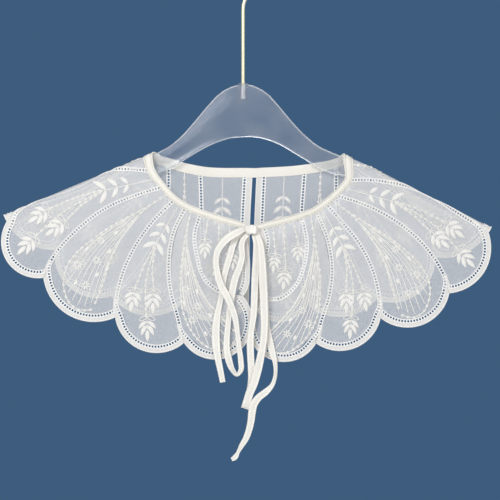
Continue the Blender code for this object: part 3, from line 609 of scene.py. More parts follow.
def settle_on_cloth(half, flat):
    """Flat points raised by the cloth's own crown and waves, folded to their place and kept to their own side."""
    flat = np.array(flat, float)
    for point in flat:
        hit = half.surface.ray_cast(Vector((point[0], point[1], 50)), Vector((0, 0, -1)))
        if hit[0] is not None:
            point[2] += hit[0].z
    placed = half.fold.place(flat)
    front = flat[:, 1] > FOLD_RADIUS
    if half.side == "left":
        placed[:, 0] = np.where(front, np.minimum(placed[:, 0], FRONTS_MEET[0] * MM), placed[:, 0])
    else:
        placed[:, 0] = np.where(front, np.maximum(placed[:, 0], FRONTS_MEET[1] * MM), placed[:, 0])
    return placed


def made_piece(name, bm, material, sharp=40):
    """The piece from its bmesh, shaded smooth."""
    mesh = bpy.data.meshes.new(name)
    bm.to_mesh(mesh)
    bm.free()
    mesh.shade_smooth()
    mesh.set_sharp_from_angle(angle=math.radians(sharp))
    mesh.materials.append(material)
    obj = bpy.data.objects.new(name, mesh)
    bpy.context.scene.collection.objects.link(obj)
    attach(obj, "root")
    return obj


def fold_piece(name, half, bm, material, sharp=40):
    """A piece sewn on the plane, put on the folded cloth."""
    verts = list(bm.verts)
    for vert, spot in zip(verts, settle_on_cloth(half, [vert.co[:] for vert in verts])):
        vert.co = spot
    bmesh.ops.recalc_face_normals(bm, faces=bm.faces)
    obj = made_piece(name, bm, material, sharp)
    return obj


def organza(half, material):
    """The sheer cloth of every petal, which stops at the openwork lines. It is one thin shell for each petal."""
    bm = new_sewing()
    columns, rows = 26, 44
    for petal in half.petals:
        t = np.linspace(0, 1, 60)
        last = np.ones_like(t)
        if isinstance(petal.hem, Arc):
            s = np.linspace(0.5, 1, 200)
            deep = petal.hem.away(petal.at(t[:, None], s[None, :])) >= HEM_HOLES + BORDER_INSET
            last = np.array([s[row.nonzero()[0][-1]] for row in deep])
        else:
            drop_length = np.linalg.norm(petal.at(t, 1.0) - petal.at(t, 0.0), axis=1)
            last = 1 - petal.insets[1] / drop_length
        found = grid_verts(bm, columns, rows)
        x, y = np.array([share for _, *share in found]).T
        s = y * np.interp(x, t, last)
        width = np.linalg.norm(petal.at(1, s) - petal.at(0, s), axis=1)
        first, over = (np.minimum(inset / np.maximum(width, 1e-6), 0.45) for inset in petal.insets)
        for (vert, _, _), spot in zip(found, petal.at(first + (1 - first - over) * x, s)):
            vert.co = (*spot, ORGANZA[0])
    uv = bm.loops.layers.uv.active
    for face in bm.faces:
        for loop in face.loops:
            loop[uv].uv = (loop.vert.co.x * MM, loop.vert.co.y * MM)
    for face in bm.faces:
        face.normal_update()
        if face.normal.z < 0:
            face.normal_flip()
    bmesh.ops.solidify(bm, geom=bm.faces, thickness=-(ORGANZA[1] - ORGANZA[0]))
    return fold_piece(f"{half.side}_organza", half, bm, material)


def ladder_line(half, i):
    """The openwork line of a petal: down its outer border and round inside its hem to its inner border."""
    petal = half.petals[i]
    if i == 0:
        track = half.borders[0]
        reach = 1 - (FRONT_HOLES + 3.5) / track.total
        return track(np.linspace(0, reach, 60))
    hem, outer = petal.hem, petal.outer
    if i == len(half.petals) - 1:
        line = outer(np.linspace(0, 1, 80))
        side = side_of(line)
        toward = petal.at(0.5, 0.5) - line[40]
        outer = Track(line + side * np.sign(side[40] @ toward) * SLIT_HOLES)
    crossings = []
    for track in (outer, petal.inner):
        shares = np.linspace(1, 0.6, 160)
        first = (hem.away(track(shares)) >= HEM_HOLES).nonzero()[0]
        crossings.append(shares[first[0]])
    turn = hem.angle_of(outer(crossings[0]))
    stop = hem.angle_of(petal.inner(crossings[1]))
    towards = np.sign(stop - turn)
    down = outer(np.linspace(0, crossings[0] - CORNER_RUN / outer.total, 24))
    angles = np.linspace(turn + towards * CORNER_RUN / hem.radius, stop - towards * 1.2 / hem.radius, 16)
    return Track([*down, *hem.at_angle(angles, HEM_HOLES)])(np.linspace(0, 1, 160))


def thinned(line, count):
    """At most count points of the line, its two ends among them."""
    return line[np.unique(np.round(np.linspace(0, len(line) - 1, count)).astype(int))]


def ladder(bm, line):
    """Openwork: a strip with a row of square drawn-thread holes along its middle."""
    track = Track(thinned(line, 41))
    cells = max(3, round(track.total / LADDER_PITCH))
    points = track(np.linspace(0, 1, cells + 1))
    side = side_of(points)
    rows = len(LADDER_ROWS) - 1
    found = grid_verts(bm, cells, rows)
    verts = [vert for vert, _, _ in found]
    scale_uvs(bm, verts, track.total, LADDER_ROWS[-1] - LADDER_ROWS[0])
    middle = []
    for vert, x, y in found:
        i, k = round(x * cells), round(y * rows)
        vert.co = (*(points[i] + LADDER_ROWS[k] * side[i]), LADDER_LIFTS[0])
    for face in {face for vert in verts for face in vert.link_faces}:
        if all(abs(abs(math.dist(vert.co.xy, points[np.argmin(np.linalg.norm(points - vert.co.xy, axis=1))]))
                   - LADDER_ROWS[2]) < 0.05 for vert in face.verts):
            middle.append(face)
    bmesh.ops.inset_individual(bm, faces=middle, thickness=HOLE_FRAME, use_even_offset=True)
    bmesh.ops.delete(bm, geom=middle, context="FACES")


def ladder_cords(bm, line):
    """The two corded rows of stitches that edge an openwork line."""
    line = thinned(line, 81)
    for hand in (-1, 1):
        sweep(bm, line, [(hand * LADDER_CORD + x, lift) for x, lift in round_section(0.9, 0.6, 1.55, 6)])


def front_ladder_line(half):
    """The openwork line beside the front edge."""
    line = half.front_edge(np.linspace(0, 1, 60))
    side = side_of(line)
    toward = half.petals[0].at(0.5, 0.5) - line[30]
    line = line + side * np.sign(side[30] @ toward) * FRONT_HOLES
    gap = [np.linalg.norm(half.borders[0](np.linspace(0, 1, 200)) - p, axis=1).min() for p in line]
    return line[: max(8, int((np.array(gap) > LADDER_ROWS[-1] * 1.9).nonzero()[0][-1]))]


def joined(works, *shared):
    """One bmesh from several pieces of work, each made in a bmesh of its own."""
    whole = new_sewing()
    for work, *rest in works:
        bm = new_sewing()
        work(bm, *rest, *shared)
        mesh = bpy.data.meshes.new("work")
        bm.to_mesh(mesh)
        bm.free()
        whole.from_mesh(mesh)
        bpy.data.meshes.remove(mesh)
    return whole


def ladders(half, material):
    """Every openwork line of one half."""
    lines = [*[ladder_line(half, i) for i in range(len(half.petals))], front_ladder_line(half)]
    bm = joined([(ladder, line) for line in lines])
    for face in bm.faces:
        face.normal_update()
        if face.normal.z < 0:
            face.normal_flip()
    bmesh.ops.solidify(bm, geom=bm.faces, thickness=-(LADDER_LIFTS[1] - LADDER_LIFTS[0]))
    cords = joined([(ladder_cords, line) for line in lines])
    mesh = bpy.data.meshes.new("cords")
    cords.to_mesh(mesh)
    cords.free()
    bm.from_mesh(mesh)
    bpy.data.meshes.remove(mesh)
    return fold_piece(f"{half.side}_openwork", half, bm, material, 50)


def hem_band(bm, line, hand, width, over):
    """The flat doubled band inside an edge."""
    band = [(0.6, 0.45), (width, 0.5), (width, 0.95 + over), (width - 0.5, 1.1 + over), (0.6, 0.95 + over)]
    sweep(bm, line, [(hand * a, lift) for a, lift in band])


def hem_cord(bm, line, hand, width, over):
    """The corded rim of an edge."""
    rim = [(0.75 + x, lift) for x, lift in round_section(1.5, 0.1, 1.65 + over, 10)]
    sweep(bm, line, [(hand * a, lift) for a, lift in rim], 0.3)


def hems(half, band_material, cord_material):
    """The bound edges along the scallops, the front edge and the slit: their bands, and their corded rims."""
    runs = [(half.front_edge(np.linspace(0.01, 1, 40)), half.petals[0].at(0.5, 0.5), HEM_BAND)]
    runs.append((half.slit_edge(np.linspace(0.01, 1, 60)), half.petals[-1].at(0.5, 0.5), HEM_BAND + 1.4))
    for petal in half.petals[1:]:
        runs.append((petal.hem(np.linspace(0, 1, 60)), petal.at(0.5, 0.6), HEM_BAND))
    edges = []
    for k, (line, heart, width) in enumerate(runs):
        middle = len(line) // 2
        edges.append((line, np.sign(side_of(line)[middle] @ (heart - line[middle])), width, 0.12 * (k % 2)))
    corners = [(work, half, i) for work in (gusset, border_patch) for i in range(1, len(half.petals))]
    band = joined([*[(hem_band, *edge) for edge in edges], *corners])
    cord = joined([(hem_cord, *edge) for edge in edges])
    return [fold_piece(f"{half.side}_hem_band", half, band, band_material),
            fold_piece(f"{half.side}_hem_cord", half, cord, cord_material)]


def gusset(bm, half, i):
    """The cloth left whole in the corner between a petal's openwork line, its hem and its outer notch."""
    petal = half.petals[i]
    line = ladder_line(half, i)
    notch = petal.hem(1.0)
    near = (np.linalg.norm(line - notch, axis=1) < 17).nonzero()[0]
    line = line[near[0]: near[-1] + 1: 3]
    side = side_of(line)
    middle = len(line) // 2
    hand = np.sign(side[middle] @ (notch - line[middle]))
    hem = petal.hem(np.linspace(1, 1 - 14 / petal.hem.total, 5))
    border = petal.outer(np.linspace(1 - 15 / petal.outer.total, 1, 4))[:-1]
    outline = [*(line + hand * 1.75 * side), *hem[::-1], *border[::-1]]
    face = bm.faces.new([bm.verts.new((*spot, 0.5)) for spot in outline])
    made = bmesh.ops.extrude_face_region(bm, geom=[face])["geom"]
    bmesh.ops.translate(bm, verts=[g for g in made if isinstance(g, bmesh.types.BMVert)], vec=(0, 0, 0.35))
    bmesh.ops.triangulate(bm, faces=bm.faces)
    for face in bm.faces:
        for loop in face.loops:
            loop[bm.loops.layers.uv.active].uv = (loop.vert.co.x * MM, loop.vert.co.y * MM)


def border_patch(bm, half, i):
    """The doubled cloth on the inner side of a petal, beside the last of the border."""
    track = half.borders[i - 1]
    line = track(np.linspace(1 - 19 / track.total, 1, 8))
    side = side_of(line)
    hand = np.sign(side[4] @ (half.petals[i].at(0.5, 0.8) - line[4]))
    sweep(bm, line, [(hand * a, lift) for a, lift in ((-0.5, 0.5), (2.9, 0.5), (2.9, 0.85), (-0.5, 0.85))])


def embroidery(half, material):
    """Leaf sprays and beaded fans, by turns, on every petal front and back."""
    works = []
    for petal in half.petals:
        length = np.linalg.norm(petal.at(0.5, 1) - petal.at(0.5, 0))
        scale = min(max(length / 150, 0.7), 1.05)
        if petal.kind == "small":
            works.append((small_spray, petal))
        elif petal.kind == "spray":
            works += [(spray_leaves, petal, scale), *[(bead_line, petal, places) for places in SPRAY_BEADS]]
            works += [(tuft, petal, across, down, size * scale) for across, down, size in SPRAY_TUFTS]
        else:
            works += [(bead_line, petal, places) for places in (FAN_STEM, FAN_OUTER, FAN_INNER)]
            works += [(fan_lines, petal), (fan_flowers, petal, scale)]
    return fold_piece(f"{half.side}_embroidery", half, joined(works), material)


def band_rings(half, section):
    """The neck binding's sections along one half's neck, from the front opening to the back slit."""
    total = half.neck_length[-1]
    line = along(half.neck_dense, half.neck_length, np.linspace(0, total, round(total / 1.6) + 1))
    side = side_of(line)
    side *= np.sign(np.sum(side * (NECK_HOLE - line), axis=1))[:, None]
    narrow = 1 - (1 - FRONT_BAND) * settle(line[:, 1] / 40)
    flat = [
        (*(p + ((a + 1.6) * slim - 1.6 + 1.1 * (1 - slim) / (1 - FRONT_BAND)) * s), lift)
        for p, s, slim in zip(line, side, narrow) for a, lift in section
    ]
    return half.fold.place(flat).reshape(len(line), len(section), 3)


def ring_tube(bm, rings, length_mm, girth_mm):
    """A closed body through rings of points in metres."""
    count = len(rings[0])
    found = grid_verts(bm, len(rings) - 1, count)
    verts = [vert for vert, _, _ in found]
    scale_uvs(bm, verts, length_mm, girth_mm)
    for vert, x, y in found:
        vert.co = rings[round(x * (len(rings) - 1))][round(y * count) % count]
    merged = bmesh.ops.find_doubles(bm, verts=verts, dist=1e-7)["targetmap"]
    bmesh.ops.weld_verts(bm, targetmap=merged)
    rims = {e for vert in verts if vert.is_valid for e in vert.link_edges if e.is_boundary}
    bmesh.ops.holes_fill(bm, edges=list(rims), sides=count + 1)
    bmesh.ops.recalc_face_normals(bm, faces=bm.faces)


def neck_binding(halves, material):
    """One folded bias strip from the left front end, round behind the neck, to the right front end."""
    section = (
        (-1.5, 0.2), (-1.6, 0.9), (-1.2, 1.55), (-0.6, 1.6), (0.1, 1.0), (1.0, 1.6), (3.5, 2.0), (6, 1.4), (6.6, 2.0),
        (7.4, 2.2), (8, 1.5), (8, 0.5), (7.3, 0.05), (4, 0.0), (1, 0.1),
    )
    rings = np.concatenate([band_rings(halves[0], section), band_rings(halves[1], section)[::-1]])
    bm = new_sewing()
    ring_tube(bm, rings, 470, 22)
    return made_piece("sewn_binding", bm, material)


def binding_stitches(halves, material):
    """The seam that holds the binding to the cloth: short stitches along its lower edge."""
    bm = new_sewing()
    section = [(a, lift) for a, lift in round_section(0.55, 1.55, 2.0, 6)]
    for half in halves:
        rings = band_rings(half, section)
        step = 1.6 * len(rings)
        for k in range(1, len(rings) - 2, 2):
            ring_tube(bm, rings[k: k + 2], step / len(rings), 1.6)
    return made_piece("binding_seam", bm, material)


def front_depth(across, drop):
    """How far the front cloth's outer face stands from the hanger's plane, well below the folds."""
    return FOLD_RADIUS + CLOTH + RIDGE + PETAL_CROWN + swell(FRONT, across, drop, RISE_RUN)


def tie(name, rows, material):
    """A folded ribbon down its table. Its place, with the points that it follows."""
    dense, length, _ = curve(rows, axes=3)
    line = along(dense, length, np.linspace(0, length[-1], round(length[-1] / 1.5) + 1))
    centre = np.array([(a, -(front_depth(a, d) + out), -d) for a, d, out, _, _ in line])
    ahead = np.gradient(centre, axis=0)
    near = ((1, 0.3), (0.96, 0.9), (0.84, 1), (0.72, 0.45), (0.3, 0.7), (-0.3, 0.75), (-0.72, 0.45), (-0.84, 1),
            (-0.96, 0.9), (-1, 0.3))
    section = near + tuple((-a, -b) for a, b in near)
    rings, flat = [], None
    for point, forward, (_, _, _, width, turn) in zip(centre, ahead, line):
        forward = forward / np.linalg.norm(forward)
        across = np.cross(forward, (0, 1, 0))
        if flat is None or np.linalg.norm(across) > 0.35:
            across *= 1 if flat is None else np.sign(across @ flat)
            flat = across / np.linalg.norm(across)
        face = np.cross(forward, flat)
        angle = math.radians(turn)
        wide = math.cos(angle) * flat + math.sin(angle) * face
        thick = math.cos(angle) * face - math.sin(angle) * flat
        rings.append([(point + a * wide * width / 2 + b * thick * TIE_WALL / 2) * MM for a, b in section])
    bm = new_sewing()
    ring_tube(bm, rings, length[-1], 16)
    obj = made_piece(name, bm, material)
    return obj, centre * MM


def bow_knot(material):
    """The wrapped knot between the binding's two ends."""
    bm = new_sewing()
    bmesh.ops.create_cube(bm, size=1, calc_uvs=True)
    bmesh.ops.subdivide_edges(bm, edges=bm.edges, cuts=15, use_grid_fill=True)
    across, drop = KNOT_PLACE
    depth = front_depth(across, drop) + KNOT_OUT
    for vert in bm.verts:
        unit = np.array(vert.co) * 2
        round_off = (np.abs(unit) ** 4.5).sum() ** (-1 / 4.5)
        at = np.array(vert.co) * round_off * 2
        wrap = 1 - abs(math.sin(2.9 * (at[0] * 0.95 - at[2] * 0.2) + 0.5)) ** 10
        at = at / 2 * np.array(KNOT_LOOK) * (0.88 + 0.12 * wrap)
        vert.co = np.array((across + at[0], -depth + at[1], -drop + at[2])) * MM
    uv = bm.loops.layers.uv.active
    for face in bm.faces:
        for loop in face.loops:
            loop[uv].uv = loop[uv].uv * KNOT_LOOK[0] * MM
    obj = made_piece("wrapped_knot", bm, material, 80)
    return obj


def plate_outline(step):
    """The hanger's outline, with its arms' upper edges seated just under both shoulder folds."""
    crest = PLATE_WALL / 2 - PLATE_BEVEL
    roof = FOLD_RADIUS - math.sqrt(FOLD_RADIUS**2 - crest**2) + 0.3 + FACET_ROOM
    seats = {}
    for name, table in (("left", LEFT), ("right", RIGHT)):
        fold = Fold(table["fold"])
        seats[name] = [tuple(fold.start + u * fold.along + roof * fold.down) for u in SEATS]
        seats[name].append(tuple(fold.start + ARM_TIP[0] * fold.along + (roof + ARM_TIP[1]) * fold.down))
    outline = seats["left"][::-1] + list(PLATE_TOP) + seats["right"] + list(PLATE_BOTTOM)
    return even([*outline, outline[0]], step)[:-1]


def upright_cylinder(name, radius, top_drop, foot_drop):
    bm = bmesh.new()
    height = (foot_drop - top_drop) * MM
    bmesh.ops.create_cone(bm, cap_ends=True, segments=48, radius1=radius * MM, radius2=radius * MM, depth=height)
    bmesh.ops.translate(bm, verts=bm.verts, vec=(0, 0, -top_drop * MM - height / 2))
    mesh = bpy.data.meshes.new(name)
    bm.to_mesh(mesh)
    bm.free()
    obj = bpy.data.objects.new(name, mesh)
    bpy.context.scene.collection.objects.link(obj)
    return obj


def hanger_plate(material):
    """A clear moulded plate with a raised rim and a socket for the rod."""
    bm = bmesh.new()
    outline = plate_outline(2.5)
    face = bm.faces.new([bm.verts.new((a * MM, -PLATE_WALL / 2 * MM, -d * MM)) for a, d in outline])
    made = bmesh.ops.extrude_face_region(bm, geom=[face])
    for vert in (g for g in made["geom"] if isinstance(g, bmesh.types.BMVert)):
        vert.co.y = PLATE_WALL / 2 * MM
    bmesh.ops.recalc_face_normals(bm, faces=bm.faces)
    for sign in (-1, 1):
        flat = [f for f in bm.faces if f.normal.y * sign > 0.9 and len(f.verts) > 8]
        bmesh.ops.inset_region(bm, faces=flat, thickness=PLATE_RIM * MM, depth=0)
        bmesh.ops.inset_region(bm, faces=flat, thickness=PLATE_SLOPE * MM, depth=-(PLATE_WALL - PLATE_WEB) / 2 * MM)
    bm.normal_update()
    rims = [e for e in bm.edges if {round(abs(f.normal.y)) for f in e.link_faces} == {0, 1}
            and min(abs(v.co.y) for v in e.verts) > (PLATE_WALL / 2 - 0.01) * MM
            and any(abs(f.normal.y) < 0.1 for f in e.link_faces)]
    bmesh.ops.bevel(bm, geom=rims, offset=PLATE_BEVEL * MM, segments=3, affect="EDGES", profile=0.5, material=-1)
    mesh = bpy.data.meshes.new("plate")
    bm.to_mesh(mesh)
    bm.free()
    plate = bpy.data.objects.new("plate", mesh)
    bpy.context.scene.collection.objects.link(plate)
    boss = upright_cylinder("boss", BOSS_RADIUS, *BOSS_DROPS)
    hole = upright_cylinder("socket", ROD_RADIUS + ROD_GAP, BOSS_DROPS[0] - 10, ROD_FOOT + ROD_GAP)
    for helper, operation in ((boss, "UNION"), (hole, "DIFFERENCE")):
        cut = plate.modifiers.new(helper.name, "BOOLEAN")
        cut.operation = operation
        cut.object = helper
    bpy.context.view_layer.update()
    evaluated = plate.evaluated_get(bpy.context.evaluated_depsgraph_get())
    whole = bmesh.new()
    whole.from_mesh(evaluated.to_mesh())
    evaluated.to_mesh_clear()
    for helper in (plate, boss, hole):
        bpy.data.objects.remove(helper)
    # Marks the vertices near the outline, away from the boss, for a painted rim highlight. The material makes them
    # whiter and less clear.
    edge = whole.verts.layers.float.new("edge")
    for vert in whole.verts:
        away = np.linalg.norm(np.array(outline) - (vert.co.x / MM, -vert.co.z / MM), axis=1).min()
        vert[edge] = float(away < PLATE_RIM_HIGHLIGHT_WIDTH and abs(vert.co.x) > (BOSS_RADIUS + 0.5) * MM)
    obj = made_piece("moulded_plate", whole, material, 35)
    return obj


def wire_tube(name, route, radii, material):
    """Round wire through route, each point across and drop, with these radii."""
    ahead = np.gradient(route, axis=0)
    ahead /= np.linalg.norm(ahead, axis=1)[:, None]
    rings = []
    for (across, drop), (step_x, step_d), radius in zip(route, ahead, radii):
        side = np.array((step_d, 0, step_x))
        angles = [2 * math.pi * k / 20 for k in range(20)]
        centre = np.array((across, 0, -drop))
        rings.append([(centre + radius * (math.cos(a) * side + math.sin(a) * np.array((0, 1, 0)))) * MM
                      for a in angles])
    bm = new_sewing()
    ring_tube(bm, rings, np.linalg.norm(np.diff(route, axis=0), axis=1).sum(), 11)
    obj = made_piece(name, bm, material)
    return obj


def hook_rod(material):
    """The plain wire and its hook, down to the hanger."""
    middle = HOOK_INNER + ROD_RADIUS
    turn = [math.radians(a) for a in np.linspace(*HOOK_TURN, 18)]
    bend = [(middle * math.cos(a), HOOK_INNER - middle * math.sin(a)) for a in turn]
    route = np.array([(0, THREAD_TOP), (0, 120), (0, 100), (0, 85), *even([*HOOK_NECK, *bend], 1.5)], float)
    radii = np.full(len(route), ROD_RADIUS)
    radii[-1], radii[-2] = 1.0, 1.5
    return wire_tube("wire_hook", route, radii, material)


def threaded_foot(material):
    """The screwed foot of the wire, in the hanger's socket."""
    count = round((ROD_FOOT - THREAD_TOP) / 0.25)
    route = np.array([(0, ROD_FOOT - 0.25 * k) for k in range(count + 1)], float)
    radii = 1.66 + 0.32 * (0.5 - 0.5 * np.cos(np.arange(len(route)) * math.pi / 4))
    radii[0], radii[1] = 1.2, 1.6
    return wire_tube("threaded_foot", route, radii, material)


def new_material(name, colour, roughness, metallic=0.0):
    material = bpy.data.materials.new(name)
    material.use_nodes = True
    shader = material.node_tree.nodes["Principled BSDF"]
    shader.inputs["Base Color"].default_value = (*colour, 1)
    shader.inputs["Roughness"].default_value = roughness
    shader.inputs["Metallic"].default_value = metallic
    return material, material.node_tree, shader


def add(tree, kind, **values):
    node = tree.nodes.new(kind)
    for key, value in values.items():
        if hasattr(node, key):
            setattr(node, key, value)
        else:
            node.inputs[key.replace("_", " ").title()].default_value = value
    return node


def thread_waves(tree, vector, scale, direction, distortion=0.0):
    """Fine parallel ridges, scale of them to a metre."""
    wave = add(tree, "ShaderNodeTexWave", wave_type="BANDS", bands_direction=direction)
    wave.inputs["Scale"].default_value = scale * math.pi / 10
    wave.inputs["Distortion"].default_value = distortion
    tree.links.new(vector, wave.inputs["Vector"])
    return wave.outputs["Fac"]


def blend_value(tree, kind, a, b):
    node = add(tree, "ShaderNodeMath", operation=kind)
    for socket, value in zip(node.inputs, (a, b)):
        if isinstance(value, (int, float)):
            socket.default_value = value
        else:
            tree.links.new(value, socket)
    return node.outputs[0]


def mapped(tree, value, low, high):
    node = add(tree, "ShaderNodeMapRange")
    node.inputs["To Min"].default_value = low
    node.inputs["To Max"].default_value = high
    tree.links.new(value, node.inputs["Value"])
    return node.outputs["Result"]


def uv_vector(tree, turn=0.0):
    source = add(tree, "ShaderNodeTexCoord")
    if not turn:
        return source.outputs["UV"]
    mapping = add(tree, "ShaderNodeMapping")
    mapping.inputs["Rotation"].default_value = (0, 0, math.radians(turn))
    tree.links.new(source.outputs["UV"], mapping.inputs["Vector"])
    return mapping.outputs["Vector"]


def mottled(tree, colour, spread, scale):
    """The base colour with a soft uneven tone, as washed cloth has."""
    noise = add(tree, "ShaderNodeTexNoise")
    noise.inputs["Scale"].default_value = scale
    noise.inputs["Detail"].default_value = 4
    tree.links.new(add(tree, "ShaderNodeTexCoord").outputs["Object"], noise.inputs["Vector"])
    mix = add(tree, "ShaderNodeMix", data_type="RGBA")
    mix.inputs[6].default_value = (*[c * (1 - spread) for c in colour], 1)
    mix.inputs[7].default_value = (*colour, 1)
    tree.links.new(noise.outputs["Fac"], mix.inputs[0])
    return mix.outputs[2]


def bump(tree, shader, height, strength, distance):
    node = add(tree, "ShaderNodeBump")
    node.inputs["Strength"].default_value = strength
    node.inputs["Distance"].default_value = distance
    tree.links.new(height, node.inputs["Height"])
    tree.links.new(node.outputs["Normal"], shader.inputs["Normal"])


def sheer_cloth():
    """White organza: a plain open weave of fine stiff threads that lets what is behind it through."""
    colour = (0.86, 0.87, 0.89)
    material, tree, shader = new_material("white organza", colour, 0.6)
    uv = uv_vector(tree)
    weave = blend_value(
        tree, "MAXIMUM", thread_waves(tree, uv, 2200, "X"), thread_waves(tree, uv, 2200, "Y")
    )
    tree.links.new(mottled(tree, colour, 0.07, 90), shader.inputs["Base Color"])
    slub = add(tree, "ShaderNodeTexNoise")
    slub.inputs["Scale"].default_value = 500
    slub.inputs["Detail"].default_value = 5
    tree.links.new(uv, slub.inputs["Vector"])
    cover = blend_value(tree, "ADD", mapped(tree, weave, 0.1, 0.3), mapped(tree, slub.outputs["Fac"], 0.0, 0.18))
    tree.links.new(cover, shader.inputs["Alpha"])
    shader.inputs["Sheen Weight"].default_value = 0.15
    shader.inputs["Sheen Roughness"].default_value = 0.4
    shader.inputs["Specular IOR Level"].default_value = 0.25
    bump(tree, shader, weave, 0.25, 0.0001)
    return material


def stitched(name, colour, pitch, turn, strength=0.6):
    """Closely worked thread that runs across its piece."""
    material, tree, shader = new_material(name, colour, 0.55)
    waves = thread_waves(tree, uv_vector(tree, turn), 1 / (pitch * MM), "X", 0.6)
    tree.links.new(mottled(tree, colour, 0.07, 90), shader.inputs["Base Color"])
    tree.links.new(mapped(tree, waves, 0.62, 0.42), shader.inputs["Roughness"])
    shader.inputs["Sheen Weight"].default_value = 0.25
    shader.inputs["Sheen Roughness"].default_value = 0.35
    bump(tree, shader, waves, strength, 0.0002)
    return material


def stitch_rows_and_painted_fold_light(tree, places, reach):
    """1 along rows of short stitches at these places round a strip, to reach mm beside each, and 0 elsewhere. The
    places lie on the strip's folds and grooves, so the rows also carry painted light and shade there.
    """
    parts = add(tree, "ShaderNodeSeparateXYZ")
    tree.links.new(uv_vector(tree), parts.inputs[0])
    rows = 0.0
    for place in places:
        row = add(tree, "ShaderNodeMath", operation="COMPARE")
        tree.links.new(parts.outputs["Y"], row.inputs[0])
        row.inputs[1].default_value = place * MM
        row.inputs[2].default_value = reach * MM
        rows = blend_value(tree, "ADD", rows, row.outputs[0])
    stitches = mapped(tree, thread_waves(tree, uv_vector(tree), 450, "X"), 0.35, 1.0)
    return blend_value(tree, "MULTIPLY", rows, stitches)


def twill(name, colour, rows, reach, tone):
    """Bias cotton with a fine diagonal weave, and rows of short stitches round it in another tone. That tone is also
    painted light: a darker tone paints shade in grooves, and a lighter one paints a highlight along folds.
    """
    material, tree, shader = new_material(name, colour, 0.75)
    weave = blend_value(
        tree, "ADD",
        thread_waves(tree, uv_vector(tree, 45), 1500, "X", 0.8),
        thread_waves(tree, uv_vector(tree, 45), 1500, "Y", 0.8),
    )
    # The rows' tone is stitches and painted light together: painted shade in the binding's grooves, and a painted
    # highlight along the ribbon's folds.
    sewn = add(tree, "ShaderNodeMix", data_type="RGBA")
    tree.links.new(stitch_rows_and_painted_fold_light(tree, rows, reach), sewn.inputs[0])
    tree.links.new(mottled(tree, colour, 0.1, 70), sewn.inputs[6])
    sewn.inputs[7].default_value = (*[c * tone for c in colour], 1)
    tree.links.new(sewn.outputs[2], shader.inputs["Base Color"])
    tree.links.new(mapped(tree, weave, 0.8, 0.6), shader.inputs["Roughness"])
    shader.inputs["Sheen Weight"].default_value = 0.3
    shader.inputs["Sheen Roughness"].default_value = 0.4
    crease = add(tree, "ShaderNodeTexNoise")
    crease.inputs["Scale"].default_value = 130
    tree.links.new(uv_vector(tree), crease.inputs["Vector"])
    height = blend_value(tree, "ADD", mapped(tree, weave, 0, 0.15), mapped(tree, crease.outputs["Fac"], 0, 1.6))
    bump(tree, shader, height, 0.6, 0.0008)
    return material


def clear_plastic():
    """Clear moulded plastic, faintly hazed by handling, with soft flow marks, and a painted highlight round its
    outline: the marked edge band is made whiter and less clear.
    """
    material, tree, shader = new_material("clear moulded plastic", (0.96, 0.97, 1.0), 0.04)
    noise = add(tree, "ShaderNodeTexNoise")
    noise.inputs["Scale"].default_value = 35
    tree.links.new(add(tree, "ShaderNodeTexCoord").outputs["Object"], noise.inputs["Vector"])
    # The edge attribute is a painted rim highlight: it takes transmission away and raises alpha, so the outline shows
    # whiter.
    edge = add(tree, "ShaderNodeAttribute", attribute_name="edge").outputs["Fac"]
    haze_and_painted_rim_highlight = blend_value(tree, "SUBTRACT", mapped(tree, noise.outputs["Fac"], 0.96, 0.80), mapped(tree, edge, 0, 0.26))
    tree.links.new(haze_and_painted_rim_highlight, shader.inputs["Transmission Weight"])
    tree.links.new(mapped(tree, edge, 0.6, 0.74), shader.inputs["Alpha"])
    shader.inputs["IOR"].default_value = 1.49
    tree.links.new(mapped(tree, noise.outputs["Fac"], 0.1, 0.24), shader.inputs["Roughness"])
    bump(tree, shader, noise.outputs["Fac"], 0.08, 0.0008)
    return material


def plated_wire(name, colour, metallic):
    """Pale plated wire with a little tarnish."""
    material, tree, shader = new_material(name, colour, 0.3, metallic)
    noise = add(tree, "ShaderNodeTexNoise")
    noise.inputs["Scale"].default_value = 220
    noise.inputs["Detail"].default_value = 5
    tree.links.new(uv_vector(tree), noise.inputs["Vector"])
    tree.links.new(mottled(tree, colour, 0.15, 120), shader.inputs["Base Color"])
    tree.links.new(mapped(tree, noise.outputs["Fac"], 0.24, 0.42), shader.inputs["Roughness"])
    bump(tree, shader, noise.outputs["Fac"], 0.1, 0.0001)
    return material


def area_light(name, place, target, size, power, colour=(1, 1, 1)):
    data = bpy.data.lights.new(name, "AREA")
    data.shape = "DISK"
    data.size = size
    data.energy = power
    data.color = colour
    obj = bpy.data.objects.new(name, data)
    obj.location = place
    obj.rotation_euler = (Vector(target) - Vector(place)).to_track_quat("-Z", "Y").to_euler()
    bpy.context.scene.collection.objects.link(obj)


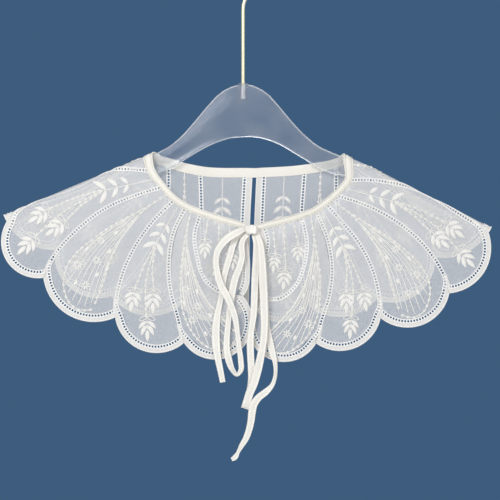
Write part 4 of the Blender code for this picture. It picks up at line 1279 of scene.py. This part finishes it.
def studio():
    """The camera at the photo's place, soft lights, a plain backdrop colour and a pale floor."""
    camera = bpy.data.objects.new("camera", bpy.data.cameras.new("camera"))
    camera.data.sensor_width = 36
    camera.data.lens = 172.8
    camera.data.clip_end = 50
    camera.location = (0.007, -2.412, -0.310)
    camera.rotation_euler = (math.pi / 2, 0, 0)
    bpy.context.scene.collection.objects.link(camera)
    bpy.context.scene.camera = camera
    bpy.context.scene.view_settings.view_transform = "Standard"
    world = bpy.data.worlds.new("plain blue")
    world.use_nodes = True
    tree = world.node_tree
    seen = tree.nodes["Background"]
    seen.inputs["Color"].default_value = (0.048, 0.108, 0.205, 1)
    soft = add(tree, "ShaderNodeBackground")
    soft.inputs["Color"].default_value = (0.42, 0.42, 0.42, 1)
    light_path = add(tree, "ShaderNodeLightPath")
    either = blend_value(tree, "MAXIMUM", light_path.outputs["Is Camera Ray"], light_path.outputs["Is Transmission Ray"])
    mix = add(tree, "ShaderNodeMixShader")
    tree.links.new(either, mix.inputs[0])
    tree.links.new(soft.outputs[0], mix.inputs[1])
    tree.links.new(seen.outputs[0], mix.inputs[2])
    tree.links.new(mix.outputs[0], tree.nodes["World Output"].inputs[0])
    bpy.context.scene.world = world
    area_light("key", (-0.9, -1.9, 0.7), (0, 0, -0.3), 0.9, 30)
    area_light("fill", (1.2, -1.7, 0.0), (0, 0, -0.3), 1.2, 8)
    area_light("back", (0.3, 1.6, 0.9), (0, 0, -0.3), 1.0, 10)
    bm = bmesh.new()
    bmesh.ops.create_circle(bm, cap_ends=True, segments=96, radius=2.2)
    bmesh.ops.translate(bm, verts=bm.verts, vec=(0, 0, -0.9))
    mesh = bpy.data.meshes.new("floor")
    bm.to_mesh(mesh)
    bm.free()
    floor = bpy.data.objects.new("floor", mesh)
    mesh.materials.append(new_material("pale floor", (0.72, 0.72, 0.70), 0.8)[0])
    bpy.context.scene.collection.objects.link(floor)


studio()
cream = (0.88, 0.86, 0.795)
sheer = sheer_cloth()
openwork = stitched("openwork thread", (0.93, 0.93, 0.92), 0.7, 0)
corded = stitched("corded hem thread", (0.93, 0.925, 0.91), 0.6, 0)
banded = stitched("doubled hem cloth", (0.735, 0.73, 0.72), 0.8, 0, 0.4)
satin = stitched("satin stitch thread", (0.89, 0.88, 0.85), 0.45, 65)
halves = [Half("left", LEFT), Half("right", RIGHT)]
for half in halves:
    half.surface = cloth_surface(half)
    cloth = organza(half, sheer)
    trims = [ladders(half, openwork), *hems(half, banded, corded), embroidery(half, satin)]
    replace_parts(cloth, f"{half.side}_half")
    flat = np.concatenate([petal.at(*np.meshgrid([0, 0.5, 1], [0, 0.5, 1])).reshape(-1, 2) for petal in half.petals])
# The binding's darker rows are its stitches and painted shade in its grooves.
binding = neck_binding(halves, twill("cream bias binding", cream, (5.9, 10.3), 0.3, 0.66))
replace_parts(binding, "neck_binding")
seam = binding_stitches(halves, stitched("seam thread", (0.84, 0.81, 0.72), 0.3, 0))
# The ribbon's lighter rows are its stitches and a painted highlight along its folds.
ribbon = twill("warm white ribbon", (0.85, 0.835, 0.79), (2.2, 5.0, 10.2, 13.0), 0.6, 1.16)
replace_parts(bow_knot(ribbon), "bow_knot")
for name, rows, far_end in (
    ("left_loop", LEFT_LOOP, "object"),
    ("left_tail", LEFT_TAIL, "bare"),
    ("right_loop", RIGHT_LOOP, "object"),
    ("right_tail", RIGHT_TAIL, "knot"),
):
    piece, path = tie(name.replace("_", "_ribbon_"), rows, ribbon)
    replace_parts(piece, name)
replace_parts(hanger_plate(clear_plastic()), "hanger_plate")
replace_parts(hook_rod(plated_wire("pale plated wire", (0.90, 0.87, 0.64), 0.75)), "hook_rod")
threaded_foot(plated_wire("pale worn screw", (0.82, 0.80, 0.84), 0.15))
